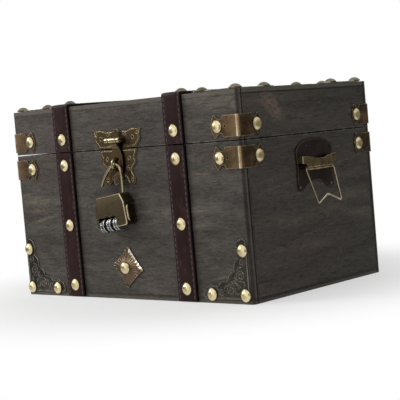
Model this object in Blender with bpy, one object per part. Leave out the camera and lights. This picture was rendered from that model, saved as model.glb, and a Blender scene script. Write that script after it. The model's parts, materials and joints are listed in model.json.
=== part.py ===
"""Small wooden treasure chest: hinged lid, leather straps, brass fittings, hasp and padlock.

Metres, +Z up, front towards -Y. The origin is the centre of the underside.
"""
import bpy
import bmesh
from math import asin, cos, pi, radians, sin
from mathutils import Matrix, Vector

for item in list(bpy.data.objects):
    bpy.data.objects.remove(item, do_unlink=True)

# Wooden box
WIDTH = 0.267
DEPTH = 0.171
HEIGHT = 0.165
LID_HEIGHT = 0.039
WALL = 0.0065
BOARD = 0.004
SEAM_GAP = 0.0008
EDGE_ROUND = 0.0006

# Air between two pieces that touch, and the thickness of the stamped brass
SEAT = 0.0003
METAL = 0.0008

# Leather straps and dome nails
STRAP_INSET = 0.067
STRAP_WIDTH = 0.0205
STRAP_THICK = 0.0025
STRAP_NAIL_INSET = 0.0108
NAIL_RADIUS = 0.0052
NAIL_RISE = 0.003

# Corner brackets and corner plates
BRACKET_HEIGHT = 0.017
BRACKET_LEG = 0.029
BRACKET_SIDE = 0.0255
LID_BRACKET_RISE = 0.0113
BODY_BRACKET_DROP = 0.013
PLATE_LEG = 0.048
PLATE_INSET = 0.0035
PLATE_NAIL_PITCH = 0.0345

# Rosette
ROSETTE_RADIUS = 0.0172
ROSETTE_Z = 0.027
ROSETTE_RISE = 0.004
ROSETTE_TURN = radians(7)

# Hasp
HASP_WIDTH = 0.058
HASP_RISE = 0.0178
HASP_DROP = 0.0305
BARREL_RISE = 0.0073
BARREL_RADIUS = 0.0023
BARREL_LIFT = 0.0026
BARREL_LENGTH = 0.017
PIN_RADIUS = 0.0009
TONGUE_WIDTH = 0.0136
TONGUE_LENGTH = 0.037
TONGUE_THICK = 0.001
STAPLE_WIRE = 0.001
STAPLE_PITCH = 0.007

# Padlock
SHACKLE_WIRE = 0.0013
SHACKLE_RISE = 0.0263
CREST_DROP = 0.0127
LOCK_WIDTH = 0.0354
LOCK_HEIGHT = 0.027
LOCK_THICK = 0.012
LOCK_BACK = 0.0045
LOCK_TILT = radians(8)
LOCK_WALL = 0.0023
DIAL_RADIUS = 0.0062
DIAL_WIDTH = 0.0044
DIAL_PITCH = 0.0079
PUSH_LENGTH = 0.0138
PUSH_WIDTH = 0.0082
PUSH_TRAVEL = 0.0008

# End handles
HANDLE_Y = 0.003
HANDLE_DROP = 0.028
HANDLE_WIDTH = 0.0488
BAIL_REACH = 0.0054
BAIL_WIRE = 0.0009
BAIL_BARREL = 0.0018
BAIL_WIDTH = 0.0372
BAIL_DROP = 0.0297
BAIL_TILT = radians(15.5)

# Back hinges
HINGE_SPACE = 0.01075
HINGE_WIDTH = 0.025
HINGE_LEAF = 0.014
HINGE_RADIUS = 0.0022

# Derived levels
SEAM = HEIGHT - LID_HEIGHT
BODY_TOP = SEAM - SEAM_GAP / 2
LID_FOOT = SEAM + SEAM_GAP / 2
BORE = PIN_RADIUS + SEAT

# Straps keep their distance from the ends of the box, and hinges from the straps
STRAP_X = WIDTH / 2 - STRAP_INSET
HINGE_X = STRAP_X - STRAP_WIDTH / 2 - HINGE_SPACE - HINGE_WIDTH / 2


def frame_on(u, v, origin):
    """Matrix from a face's own u, v, w to the chest; w points out of the wood."""
    u = Vector(u)
    v = Vector(v)
    matrix = Matrix((u, v, u.cross(v))).transposed().to_4x4()
    matrix.translation = Vector(origin)
    return matrix


FRONT = frame_on((1, 0, 0), (0, 0, 1), (0, -DEPTH / 2, 0))
BACK = frame_on((-1, 0, 0), (0, 0, 1), (0, DEPTH / 2, 0))
RIGHT = frame_on((0, 1, 0), (0, 0, 1), (WIDTH / 2, 0, 0))
LEFT = frame_on((0, -1, 0), (0, 0, 1), (-WIDTH / 2, 0, 0))
TOP = frame_on((1, 0, 0), (0, 1, 0), (0, 0, HEIGHT))


def look(name, colour, roughness, metallic):
    material = bpy.data.materials.new(name)
    material.use_nodes = True
    shader = material.node_tree.nodes["Principled BSDF"]
    shader.inputs["Base Color"].default_value = (*colour, 1)
    shader.inputs["Roughness"].default_value = roughness
    shader.inputs["Metallic"].default_value = metallic
    return material


WOOD = look("stained_wood", (0.062, 0.054, 0.047), 0.55, 0)
LEATHER = look("strap_leather", (0.045, 0.017, 0.019), 0.5, 0)
NAIL_BRASS = look("bright_brass", (0.72, 0.56, 0.28), 0.25, 1)
BRASS = look("antique_brass", (0.23, 0.15, 0.06), 0.38, 1)
BRONZE = look("dark_bronze", (0.07, 0.058, 0.04), 0.45, 1)
COPPER = look("copper_bronze", (0.3, 0.19, 0.1), 0.4, 1)
BLACK = look("blackened_metal", (0.018, 0.015, 0.014), 0.5, 1)
SILVER = look("dial_nickel", (0.62, 0.62, 0.62), 0.28, 1)


def add(name, bm, material):
    """Object from a bmesh, with its faces turned outwards."""
    bmesh.ops.remove_doubles(bm, verts=bm.verts, dist=1e-6)
    bmesh.ops.recalc_face_normals(bm, faces=bm.faces)
    mesh = bpy.data.meshes.new(name)
    bm.to_mesh(mesh)
    bm.free()
    mesh.materials.append(material)
    obj = bpy.data.objects.new(name, mesh)
    bpy.context.scene.collection.objects.link(obj)
    return obj


def combine(obj, tool, operation):
    """Exact Boolean of a tool object into obj; the tool is used up."""
    boolean = obj.modifiers.new("boolean", "BOOLEAN")
    boolean.operation = operation
    boolean.solver = "EXACT"
    boolean.material_mode = "TRANSFER"
    boolean.object = tool
    graph = bpy.context.evaluated_depsgraph_get()
    mesh = bpy.data.meshes.new_from_object(obj.evaluated_get(graph))
    obj.modifiers.clear()
    obj.data = mesh
    mesh.name = obj.name
    bpy.data.objects.remove(tool, do_unlink=True)
    return obj


def block(low, high):
    bm = bmesh.new()
    bmesh.ops.create_cube(bm, size=1)
    for vert in bm.verts:
        vert.co = [a if c < 0 else b for c, a, b in zip(vert.co, low, high)]
    return bm


def sheet(outline, thick, holes=()):
    """Flat stamping: an outline with holes, from w = 0 to thick."""
    bm = bmesh.new()
    edges = []
    for loop in (outline, *holes):
        ring = [bm.verts.new((u, v, 0)) for u, v in loop]
        edges += [bm.edges.new(pair) for pair in zip(ring, ring[1:] + ring[:1])]
    if holes:
        bmesh.ops.triangle_fill(bm, use_beauty=True, edges=edges)
    else:
        bm.faces.new(bm.verts)
    grown = bmesh.ops.extrude_face_region(bm, geom=bm.faces[:])["geom"]
    moved = [part for part in grown if isinstance(part, bmesh.types.BMVert)]
    bmesh.ops.translate(bm, vec=(0, 0, thick), verts=moved)
    bmesh.ops.recalc_face_normals(bm, faces=bm.faces)
    return bm


def raise_rim(bm, thick, rim, depth):
    """Sinks the outer face of a stamping inside a rim of the stated width."""
    outer = [f for f in bm.faces if all(v.co.z > thick * 0.99 for v in f.verts)]
    bmesh.ops.inset_region(bm, faces=outer, thickness=rim, depth=-depth, use_even_offset=True)
    return bm


def turned(profile, steps, closed=False):
    """Turned piece about w from (radius, w) points; closed profiles make rings."""
    bm = bmesh.new()
    verts = [bm.verts.new((radius, 0, height)) for radius, height in profile]
    ends = verts[1:] + verts[:1] if closed else verts[1:]
    edges = [bm.edges.new(pair) for pair in zip(verts, ends)]
    bmesh.ops.spin(
        bm, geom=verts + edges, axis=(0, 0, 1), cent=(0, 0, 0), angle=2 * pi, steps=steps, use_merge=True
    )
    bmesh.ops.remove_doubles(bm, verts=bm.verts, dist=1e-7)
    bmesh.ops.holes_fill(bm, edges=[e for e in bm.edges if e.is_boundary], sides=0)
    return bm


def rod(radius, start, end, steps=12):
    return turned([(radius, start), (radius, end)], steps)


def sleeve(outer, inner, start, end, steps=12):
    return turned([(outer, start), (outer, end), (inner, end), (inner, start)], steps, closed=True)


def wire(name, path, radius, material):
    """Round wire through a list of points, made as a bevelled curve with filled ends."""
    curve = bpy.data.curves.new(name, "CURVE")
    curve.dimensions = "3D"
    curve.bevel_depth = radius
    curve.bevel_resolution = 2
    curve.use_fill_caps = True
    spline = curve.splines.new("POLY")
    spline.points.add(len(path) - 1)
    for point, place in zip(spline.points, path):
        point.co = (*place, 1)
    helper = bpy.data.objects.new("helper", curve)
    bpy.context.scene.collection.objects.link(helper)
    graph = bpy.context.evaluated_depsgraph_get()
    bm = bmesh.new()
    bm.from_mesh(helper.evaluated_get(graph).to_mesh())
    bpy.data.objects.remove(helper, do_unlink=True)
    bpy.data.curves.remove(curve)
    return add(name, bm, material)


def eased(points, steps, closed=True):
    """Catmull-Rom curve through outline points."""
    count = len(points)
    out = []
    for i in range(count if closed else count - 1):
        near = [i - 1, i, i + 1, i + 2]
        if not closed:
            near = [min(max(n, 0), count - 1) for n in near]
        a, b, c, d = [Vector(points[n % count]) for n in near]
        for k in range(steps):
            t = k / steps
            curve = 2 * b + (c - a) * t + (2 * a - 5 * b + 4 * c - d) * t**2 + (3 * b - a - 3 * c + d) * t**3
            out.append(tuple(curve / 2))
    if not closed:
        out.append(tuple(points[-1]))
    return out


def rounded(corners, radius, steps):
    """Polyline with each inner corner replaced by an arc-like bend."""
    points = [Vector(corner) for corner in corners]
    out = [points[0]]
    for before, here, after in zip(points, points[1:], points[2:]):
        start = here + (before - here).normalized() * radius
        end = here + (after - here).normalized() * radius
        for k in range(steps + 1):
            t = k / steps
            out.append(start * (1 - t) ** 2 + here * 2 * t * (1 - t) + end * t**2)
    out.append(points[-1])
    return out


def mirrored(half):
    """Whole outline from its right half, listed top to bottom with both ends on the middle line."""
    return half + [(-u, v) for u, v in reversed(half) if u > 1e-9]


def circle(u, v, radius, steps=10):
    return [(u + radius * cos(2 * pi * k / steps), v + radius * sin(2 * pi * k / steps)) for k in range(steps)]


def nail(obj, place):
    """Fuses a dome nail head into a strap, bracket or plate; place has w = 0 on its outer face."""
    ball = (NAIL_RADIUS**2 + NAIL_RISE**2) / (2 * NAIL_RISE)
    spread = asin(NAIL_RADIUS / ball)
    arc = [spread * share for share in (1, 0.62, 0.2)]
    profile = [(NAIL_RADIUS, -METAL / 2)]
    profile += [(ball * sin(a), ball * cos(a) - ball + NAIL_RISE) for a in arc]
    bm = turned(profile, 10)
    bm.transform(place)
    return combine(obj, add("nail", bm, NAIL_BRASS), "UNION")


def at(frame, u, v, w=0.0):
    return frame @ Matrix.Translation((u, v, w))


def hang(obj, axis):
    """Moves a piece's origin to the origin of its joint's frame, leaving the piece in place."""
    obj.data.transform(Matrix.Translation(-axis.translation))
    obj.location = axis.translation
    return obj


def carry(parent, *pieces):
    """Pieces that move with parent."""
    for piece in pieces:
        piece.parent = parent
        piece.matrix_parent_inverse = Matrix.Translation(-parent.location)


# Boards of the box and the lid
def board(name, low, high):
    obj = add(name, block(low, high), WOOD)
    bevel = obj.modifiers.new("eased_edges", "BEVEL")
    bevel.width = EDGE_ROUND
    bevel.segments = 1


def walls(prefix, low, high):
    """Four boards: front and back run the full width, the ends fit between them."""
    x = WIDTH / 2
    y = DEPTH / 2
    inner = y - WALL - SEAT
    board(prefix + "_front_panel", (-x, -y, low), (x, -y + WALL, high))
    board(prefix + "_back_panel", (-x, y - WALL, low), (x, y, high))
    board(prefix + "_left_panel", (-x, -inner, low), (-x + WALL, inner, high))
    board(prefix + "_right_panel", (x - WALL, -inner, low), (x, inner, high))


walls("body", BOARD + SEAT, BODY_TOP)
walls("lid", LID_FOOT, HEIGHT - BOARD - SEAT)
board("body_bottom_panel", (-WIDTH / 2, -DEPTH / 2, 0), (WIDTH / 2, DEPTH / 2, BOARD))
board("lid_top_panel", (-WIDTH / 2, -DEPTH / 2, HEIGHT - BOARD), (WIDTH / 2, DEPTH / 2, HEIGHT))


# Leather straps with their nails
def ribbon(name, path):
    """Strap of rounded section along (y, z, outward y, outward z) stations on the wood's surface."""
    half = STRAP_WIDTH / 2
    soft = STRAP_THICK * 0.35
    section = [
        (-half + soft, 0), (half - soft, 0), (half, soft), (half, STRAP_THICK - soft),
        (half - soft, STRAP_THICK), (-half + soft, STRAP_THICK), (-half, STRAP_THICK - soft), (-half, soft),
    ]
    bm = bmesh.new()
    rings = []
    for y, z, out_y, out_z in path:
        rings.append(
            [bm.verts.new((x, y + out_y * (SEAT + n), z + out_z * (SEAT + n))) for x, n in section]
        )
    for near, far in zip(rings, rings[1:]):
        for k in range(len(section)):
            n = (k + 1) % len(section)
            bm.faces.new((near[k], near[n], far[n], far[k]))
    bm.faces.new(rings[0])
    bm.faces.new(rings[-1])
    return add(name, bm, LEATHER)


FACE_OUT = SEAT + STRAP_THICK
STRAP_FOOT = SEAT * 3
for side, x in (("left", -STRAP_X), ("right", STRAP_X)):
    for face, frame, sign in (("front", FRONT, 1), ("back", BACK, -1)):
        y = -sign * DEPTH / 2
        strap = ribbon(
            f"body_{face}_strap_{side}", [(y, STRAP_FOOT, -sign, 0), (y, BODY_TOP - SEAT, -sign, 0)]
        )
        strap.data.transform(Matrix.Translation((x, 0, 0)))
        top_nail = BODY_TOP - STRAP_NAIL_INSET
        for z in (STRAP_NAIL_INSET, (STRAP_NAIL_INSET + top_nail) / 2, top_nail):
            nail(strap, at(frame, sign * x, z, FACE_OUT))
    bends = [radians(a) for a in (0, 30, 60, 90)]
    path = [(-DEPTH / 2, LID_FOOT + SEAT, -1, 0)]
    path += [(-DEPTH / 2, HEIGHT, -cos(a), sin(a)) for a in bends]
    path += [(DEPTH / 2, HEIGHT, cos(a), sin(a)) for a in reversed(bends)]
    path += [(DEPTH / 2, LID_FOOT + SEAT, 1, 0)]
    strap = ribbon(f"lid_strap_{side}", path)
    strap.data.transform(Matrix.Translation((x, 0, 0)))
    for frame, sign in ((FRONT, 1), (BACK, -1)):
        nail(strap, at(frame, sign * x, LID_FOOT + STRAP_NAIL_INSET, FACE_OUT))
        nail(strap, at(TOP, x, -sign * (DEPTH / 2 - STRAP_NAIL_INSET), FACE_OUT))


# Corner brackets: one stamping with fishtail ends, bent round the corner
def bracket(name, sign_x, sign_y, level):
    half = BRACKET_HEIGHT / 2
    bend = radians(90) * (SEAT + METAL)
    blade = [(0.54, 1), (0.63, 0.64), (0.72, 0.72), (0.84, 1.05), (0.94, 0.6), (0.99, 0.2)]
    blade += [(s, -v) for s, v in reversed(blade)]
    outline = [(BRACKET_SIDE * s + bend, -half * v) for s, v in blade]
    outline += [(-BRACKET_LEG * s, half * v) for s, v in blade]
    bm = sheet(outline, METAL)
    for share in (0, 0.34, 0.67, 1):
        bmesh.ops.bisect_plane(
            bm, geom=bm.verts[:] + bm.edges[:] + bm.faces[:], plane_co=(bend * share, 0, 0), plane_no=(1, 0, 0)
        )
    for vert in bm.verts:
        s, v, w = vert.co
        turn = radians(90) * min(max(s / bend, 0), 1)
        x = WIDTH / 2 + (SEAT + w) * sin(turn) + min(s, 0)
        y = DEPTH / 2 + (SEAT + w) * cos(turn) - max(s - bend, 0)
        vert.co = (sign_x * x, sign_y * y, level + v)
    obj = add(name, bm, BRASS)
    face = FRONT if sign_y < 0 else BACK
    across = sign_x if sign_y < 0 else -sign_x
    nail(obj, at(face, across * (WIDTH / 2 - BRACKET_LEG * 0.76), level, SEAT + METAL))
    face = RIGHT if sign_x > 0 else LEFT
    across = sign_y if sign_x > 0 else -sign_y
    nail(obj, at(face, across * (DEPTH / 2 - BRACKET_SIDE * 0.76), level, SEAT + METAL))


for depth, sign_y in (("front", -1), ("back", 1)):
    for side, sign_x in (("left", -1), ("right", 1)):
        bracket(f"lid_bracket_{depth}_{side}", sign_x, sign_y, SEAM + LID_BRACKET_RISE)
        bracket(f"body_bracket_{depth}_{side}", sign_x, sign_y, SEAM - BODY_BRACKET_DROP)


# Corner plates: right angle, two tips and a scalloped hollow side
def corner_plate(name, frame, corner_u, corner_v, sign_u, sign_v):
    hollow = []
    lobes = 5
    for k in range(lobes * 3 + 1):
        t = k / (lobes * 3)
        p = 0.96 * (1 - t) ** 2 + 0.34 * t * (1 - t) + 0.16 * t**2
        q = 0.16 * (1 - t) ** 2 + 0.34 * t * (1 - t) + 0.96 * t**2
        bump = 0.035 * abs(sin(lobes * pi * t))
        hollow.append((p + bump, q + bump))
    shape = [(0, 0), (0.94, 0), (1, 0.06)] + hollow + [(0.06, 1), (0, 0.94)]
    bm = sheet([(p * PLATE_LEG, q * PLATE_LEG) for p, q in shape], METAL)
    raise_rim(bm, METAL, PLATE_LEG * 0.022, METAL * 0.45)
    for vert in bm.verts:
        u, v, w = vert.co
        vert.co = (corner_u + sign_u * u, corner_v + sign_v * v, SEAT + w)
    bm.transform(frame)
    obj = add(name, bm, BRONZE)
    first = PLATE_INSET
    last = first + PLATE_NAIL_PITCH
    for u, v in ((first, first), (last, first), (first, last)):
        nail(obj, at(frame, corner_u + sign_u * u, corner_v + sign_v * v, SEAT + METAL))


PLATE_U = WIDTH / 2 - PLATE_INSET
PLATE_V = DEPTH / 2 - PLATE_INSET
for side, sign in (("left", 1), ("right", -1)):
    corner_plate(f"body_corner_plate_{side}", FRONT, -sign * PLATE_U, PLATE_INSET, sign, 1)
    corner_plate(f"lid_corner_plate_front_{side}", TOP, -sign * PLATE_U, -PLATE_V, sign, 1)
    corner_plate(f"lid_corner_plate_back_{side}", TOP, -sign * PLATE_U, PLATE_V, sign, -1)


# Rosette: a low fluted pyramid on a four-pointed, scalloped outline, and its nail
bm = bmesh.new()
rings = [[], [], []]
for quarter in range(4):
    turn = Matrix.Rotation(quarter * pi / 2 - ROSETTE_TURN, 2)
    for k in range(14):
        t = k / 14
        crest = k % 2
        reach = ROSETTE_RADIUS * (0.95 + 0.05 * abs(2 * t - 1)) * (1 + 0.045 * crest)
        u, v = turn @ Vector((1 - t, t)) * reach
        rings[0].append(bm.verts.new((u, v, 0)))
        rings[1].append(bm.verts.new((u, v, METAL * (1 + 0.7 * crest))))
        hub = turn @ Vector((cos(t * pi / 2), sin(t * pi / 2))) * NAIL_RADIUS * 0.8
        rings[2].append(bm.verts.new((*hub, ROSETTE_RISE)))
for low, high in zip(rings, rings[1:]):
    for k in range(len(low)):
        bm.faces.new((low[k - 1], low[k], high[k], high[k - 1]))
bm.faces.new(rings[0])
bm.faces.new(rings[2])
bm.transform(at(FRONT, 0, ROSETTE_Z, SEAT))
add("rosette_plate", bm, COPPER)
profile = [(1, 0), (1, 0.15), (0.72, 0.62), (0.4, 0.95), (0.12, 1.1)]
bm = turned([(NAIL_RADIUS * radius, NAIL_RISE * height) for radius, height in profile], 12)
bm.transform(at(FRONT, 0, ROSETTE_Z, SEAT + ROSETTE_RISE + SEAT))
add("rosette_nail", bm, NAIL_BRASS)

# Hasp
PLATE_FACE = SEAT + METAL
HASP_AXIS = PLATE_FACE + BARREL_RADIUS - METAL / 2 + BARREL_LIFT
HASP_Z = SEAM + BARREL_RISE
KNUCKLE = BARREL_LENGTH * 0.26
ALONG_U = Matrix.Rotation(pi / 2, 4, "Y")
HALF = HASP_WIDTH / 2

upper_outline = [
    (0, 1), (0.06, 0.94), (0.13, 0.85), (0.31, 0.82), (0.49, 0.83), (0.65, 0.92), (0.86, 0.93),
    (0.99, 0.87), (0.95, 0.74), (0.92, 0.62), (0.94, 0.4), (0.83, 0.2), (0.79, 0.045), (0, 0.045),
]
outline = mirrored([(HALF * u, SEAM + HASP_RISE * v) for u, v in upper_outline])
holes = [circle(s * HALF * 0.65, SEAM + HASP_RISE * 0.5, METAL * 1.4) for s in (-1, 1)]
bm = sheet(outline, METAL, holes)
bm.transform(at(FRONT, 0, 0, SEAT))
hasp_upper = add("hasp_upper_plate", bm, BRASS)
foot = BARREL_RADIUS * 0.7
gap = SEAT * 2.5
for low, high in ((-BARREL_LENGTH / 2, -KNUCKLE - gap), (KNUCKLE + gap, BARREL_LENGTH / 2)):
    bm = block((low, HASP_Z - foot, SEAT + METAL / 2), (high, HASP_Z + foot, HASP_AXIS - BORE - SEAT))
    bm.transform(FRONT)
    combine(hasp_upper, add("saddle", bm, BRASS), "UNION")
    bm = sleeve(BARREL_RADIUS, BORE, low, high)
    bm.transform(at(FRONT, 0, HASP_Z, HASP_AXIS) @ ALONG_U)
    combine(hasp_upper, add("knuckle", bm, BRASS), "UNION")
bm = rod(PIN_RADIUS, -BARREL_LENGTH / 2, BARREL_LENGTH / 2)
bm.transform(at(FRONT, 0, HASP_Z, HASP_AXIS) @ ALONG_U)
add("hasp_pin", bm, BRASS)

# Padlock position: the shackle's crest hangs in the staple, the back of the case clears the hasp plate
LOCK_OUT = PLATE_FACE + SEAT + LOCK_BACK
CREST_Z = SEAM - CREST_DROP
STAPLE_LOW = CREST_Z - SHACKLE_WIRE - SEAT * 2.5 - STAPLE_WIRE
STAPLE_HIGH = STAPLE_LOW + STAPLE_PITCH
STAPLE_OUT = LOCK_OUT + SHACKLE_WIRE + SEAT + STAPLE_WIRE

lower_outline = [
    (0, -0.02), (0.78, -0.02), (0.68, -0.25), (0.71, -0.37), (0.54, -0.53), (0.55, -0.69), (0.62, -0.81),
    (0.59, -0.93), (0.5, -1), (0.4, -0.95), (0.35, -0.84), (0.22, -0.76), (0.1, -0.84), (0, -0.9),
]
outline = mirrored([(HALF * u, SEAM + HASP_DROP * v) for u, v in lower_outline])
holes = [circle(s * HALF * 0.45, SEAM - HASP_DROP * 0.27, METAL * 1.4) for s in (-1, 1)]
holes += [circle(0, z, STAPLE_WIRE + SEAT) for z in (STAPLE_LOW, STAPLE_HIGH)]
bm = sheet(outline, METAL, holes)
bm.transform(at(FRONT, 0, 0, SEAT))
add("hasp_lower_plate", bm, BRASS)

loop = [(0, STAPLE_LOW, SEAT), (0, STAPLE_LOW, STAPLE_OUT)]
loop += [(0, STAPLE_HIGH, STAPLE_OUT), (0, STAPLE_HIGH, SEAT)]
wire("hasp_staple", [FRONT @ point for point in rounded(loop, STAPLE_PITCH * 0.42, 4)], STAPLE_WIRE, BRASS)

# Tongue: knuckle, slotted strip and a leaf-shaped tip that lifts away for the finger
slot_top = HASP_Z - STAPLE_HIGH - STAPLE_WIRE * 2
slot_end = HASP_Z - STAPLE_LOW + STAPLE_WIRE * 3.2
slot_half = STAPLE_WIRE * 2.8
leaf_top = slot_end + (TONGUE_LENGTH - slot_end) * 0.22
wide = TONGUE_WIDTH / 2
half = [
    (KNUCKLE - SEAT, (BARREL_RADIUS + BORE) / 2), (KNUCKLE - SEAT, BARREL_RISE * 0.9), (wide, slot_top * 0.96),
    (wide * 0.98, (slot_top + slot_end) / 2), (wide * 0.8, slot_end), (wide * 0.52, leaf_top),
    (wide * 0.7, leaf_top * 0.6 + TONGUE_LENGTH * 0.4), (wide * 0.52, leaf_top * 0.3 + TONGUE_LENGTH * 0.7),
    (0, TONGUE_LENGTH),
]
outline = [(u, -r) for u, r in half] + [(-u, -r) for u, r in reversed(half) if u > 1e-9]
slot = [(slot_half, -slot_top), (slot_half, -slot_end), (-slot_half, -slot_end), (-slot_half, -slot_top)]
bm = sheet(outline, TONGUE_THICK, [slot])
TONGUE_OUT = PLATE_FACE + SEAT * 3
drop = HASP_AXIS - TONGUE_THICK / 2 - TONGUE_OUT
joggle = drop * 1.7
for k in range(7):
    everything = bm.verts[:] + bm.edges[:] + bm.faces[:]
    line = -BARREL_RADIUS - joggle * k / 6
    bmesh.ops.bisect_plane(bm, geom=everything, plane_co=(0, line, 0), plane_no=(0, 1, 0))
for vert in bm.verts:
    reach = min(max(-vert.co.y - BARREL_RADIUS, 0) / joggle, 1)
    lift = max(-vert.co.y - slot_end, 0) / (TONGUE_LENGTH - slot_end)
    vert.co.z += lift**2 * BARREL_RADIUS * 1.5 - drop * reach**2 * (3 - 2 * reach)
bmesh.ops.triangulate(bm, faces=bm.faces)
bm.transform(at(FRONT, 0, HASP_Z, HASP_AXIS - TONGUE_THICK / 2))
tongue = add("hasp_tongue", bm, BRASS)
bm = sleeve(BARREL_RADIUS, BORE, -KNUCKLE, KNUCKLE)
bm.transform(at(FRONT, 0, HASP_Z, HASP_AXIS) @ ALONG_U)
combine(tongue, add("knuckle", bm, BRASS), "UNION")
hang(tongue, at(FRONT, 0, HASP_Z, HASP_AXIS))

# Padlock shackle: bent wire with a free end and a pivot eye, measured from its crest
bow_outline = [
    (-0.665, -0.665), (-0.54, -0.436), (-0.371, -0.243), (-0.233, -0.109), (-0.109, -0.022), (0, 0),
    (0.105, -0.015), (0.196, -0.089), (0.244, -0.213), (0.268, -0.376), (0.274, -0.594), (0.27, -0.822),
    (0.27, -0.945),
]
bow = [(u * SHACKLE_RISE, v * SHACKLE_RISE) for u, v in bow_outline]
PIVOT_U = bow[-1][0]
PIVOT_Z = CREST_Z - SHACKLE_RISE
CREST = at(FRONT, 0, CREST_Z, LOCK_OUT)
path = [CREST @ Vector((u, v, 0)) for u, v in eased(bow, 2, closed=False)]
shackle = wire("padlock_shackle", path, SHACKLE_WIRE, BRASS)
PIVOT = at(FRONT, PIVOT_U, PIVOT_Z, LOCK_OUT)
EYE = SHACKLE_WIRE * 1.9
eye_half = SHACKLE_WIRE * 0.85
bm = sleeve(EYE, BORE, -eye_half, eye_half, 14)
bm.transform(PIVOT)
combine(shackle, add("eye", bm, BRASS), "UNION")
hang(shackle, CREST)

# Padlock case in its own tilted frame, with the pivot as origin: u along its width, v up
LOCK_SHIFT = LOCK_THICK / 2 - LOCK_BACK
LOCK = PIVOT @ Matrix.Translation((0, 0, LOCK_SHIFT)) @ Matrix.Rotation(LOCK_TILT, 4, "Z")
CASE_RIGHT = LOCK_WIDTH * 0.17
CASE_LEFT = CASE_RIGHT - LOCK_WIDTH
CASE_TOP = LOCK_HEIGHT * 0.11
CASE_FOOT = CASE_TOP - LOCK_HEIGHT
shoulder = LOCK_HEIGHT * 0.3
slope = LOCK_WIDTH * 0.095
toe = LOCK_HEIGHT * 0.055
outline = [
    (CASE_LEFT + slope, CASE_TOP), (CASE_LEFT, CASE_TOP - shoulder), (CASE_LEFT, CASE_FOOT + toe),
    (CASE_LEFT + toe, CASE_FOOT), (CASE_RIGHT - toe, CASE_FOOT), (CASE_RIGHT, CASE_FOOT + toe),
    (CASE_RIGHT, CASE_TOP - shoulder), (CASE_RIGHT - slope, CASE_TOP),
]
bm = sheet(outline, LOCK_THICK)
rims = [edge for edge in bm.edges if abs(edge.verts[0].co.z - edge.verts[1].co.z) < 1e-9]
bmesh.ops.bevel(bm, geom=rims, offset=LOCK_THICK * 0.09, segments=2, profile=0.5, affect="EDGES")
bm.transform(LOCK @ Matrix.Translation((0, 0, -LOCK_THICK / 2)))
case = add("padlock_case", bm, BRASS)


def cut(bm):
    bm.transform(LOCK)
    combine(case, add("cutter", bm, BRASS), "DIFFERENCE")


WINDOW_LEFT = CASE_LEFT + LOCK_WALL
FIRST_DIAL = WINDOW_LEFT + SEAT * 1.5 + DIAL_WIDTH / 2
WINDOW_RIGHT = FIRST_DIAL + 2 * DIAL_PITCH + DIAL_WIDTH / 2 + SEAT * 1.5
DIAL_V = CASE_FOOT + DIAL_RADIUS * 0.45
WINDOW_TOP = DIAL_V + DIAL_RADIUS + SEAT * 2
deep = LOCK_THICK
cut(block((WINDOW_LEFT, CASE_FOOT - deep, -deep), (WINDOW_RIGHT, WINDOW_TOP, deep)))
notch = DIAL_WIDTH * 0.16
for index in range(3):
    centre = FIRST_DIAL + index * DIAL_PITCH
    base = LOCK_THICK / 2 - notch
    cut(block((centre - notch, WINDOW_TOP - notch, base), (centre + notch, WINDOW_TOP + notch * 2.5, deep)))
JOURNAL = LOCK_WALL * 0.6
SPINDLE_RADIUS = DIAL_RADIUS * 0.2
SPINDLE = Matrix.Translation((0, DIAL_V, 0)) @ ALONG_U
bm = rod(SPINDLE_RADIUS + SEAT, WINDOW_LEFT - JOURNAL - SEAT, WINDOW_RIGHT + JOURNAL + SEAT)
bm.transform(SPINDLE)
cut(bm)
rear = -LOCK_SHIFT - SHACKLE_WIRE - SEAT * 1.5
fore = -LOCK_SHIFT + SHACKLE_WIRE + SEAT * 1.5
cut(block((-EYE - SEAT * 3, -EYE - SEAT * 2, rear), (EYE + SEAT * 2, deep, fore)))
cut(rod(BORE, -deep, deep))
free = (Vector(bow[0]) - Vector((bow[-1][0], PIVOT_Z - CREST_Z))).length
cut(block((-free - SHACKLE_WIRE * 1.6, -SHACKLE_WIRE * 2, rear), (-free + SHACKLE_WIRE * 5, deep, fore)))
PUSH_V = CASE_FOOT + toe * 1.9 + PUSH_LENGTH / 2


def push_outline(grow):
    """Round-cornered outline of the release push, along u = thickness and v = height."""
    radius = PUSH_WIDTH * 0.3
    side = PUSH_WIDTH / 2 - radius
    reach = PUSH_LENGTH / 2 - radius
    out = []
    for quarter, (u, v) in enumerate(((side, reach), (-side, reach), (-side, -reach), (side, -reach))):
        for k in range(4):
            turn = pi / 2 * (quarter + k / 3)
            out.append((u + (radius + grow) * cos(turn), v + (radius + grow) * sin(turn)))
    return out


PUSH = Matrix.Translation((CASE_RIGHT, PUSH_V, 0)) @ Matrix.Rotation(pi / 2, 4, "Y")
PUSH_PROUD = PUSH_TRAVEL + SEAT
PUSH_DEEP = PUSH_TRAVEL * 1.3
bm = sheet(push_outline(SEAT), deep)
bm.transform(PUSH @ Matrix.Translation((0, 0, -PUSH_DEEP - PUSH_TRAVEL - SEAT)))
cut(bm)

bm = rod(PIN_RADIUS, -LOCK_THICK / 2 + SEAT, LOCK_THICK / 2 - SEAT)
bm.transform(LOCK)
shackle_pin = add("padlock_shackle_pin", bm, BRASS)
hang(case, PIVOT)
carry(shackle, case)

bm = sheet(push_outline(0), PUSH_DEEP + PUSH_PROUD)
bm.transform(LOCK @ PUSH @ Matrix.Translation((0, 0, -PUSH_DEEP)))
release = hang(add("padlock_release", bm, BRASS), LOCK @ PUSH)

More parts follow.
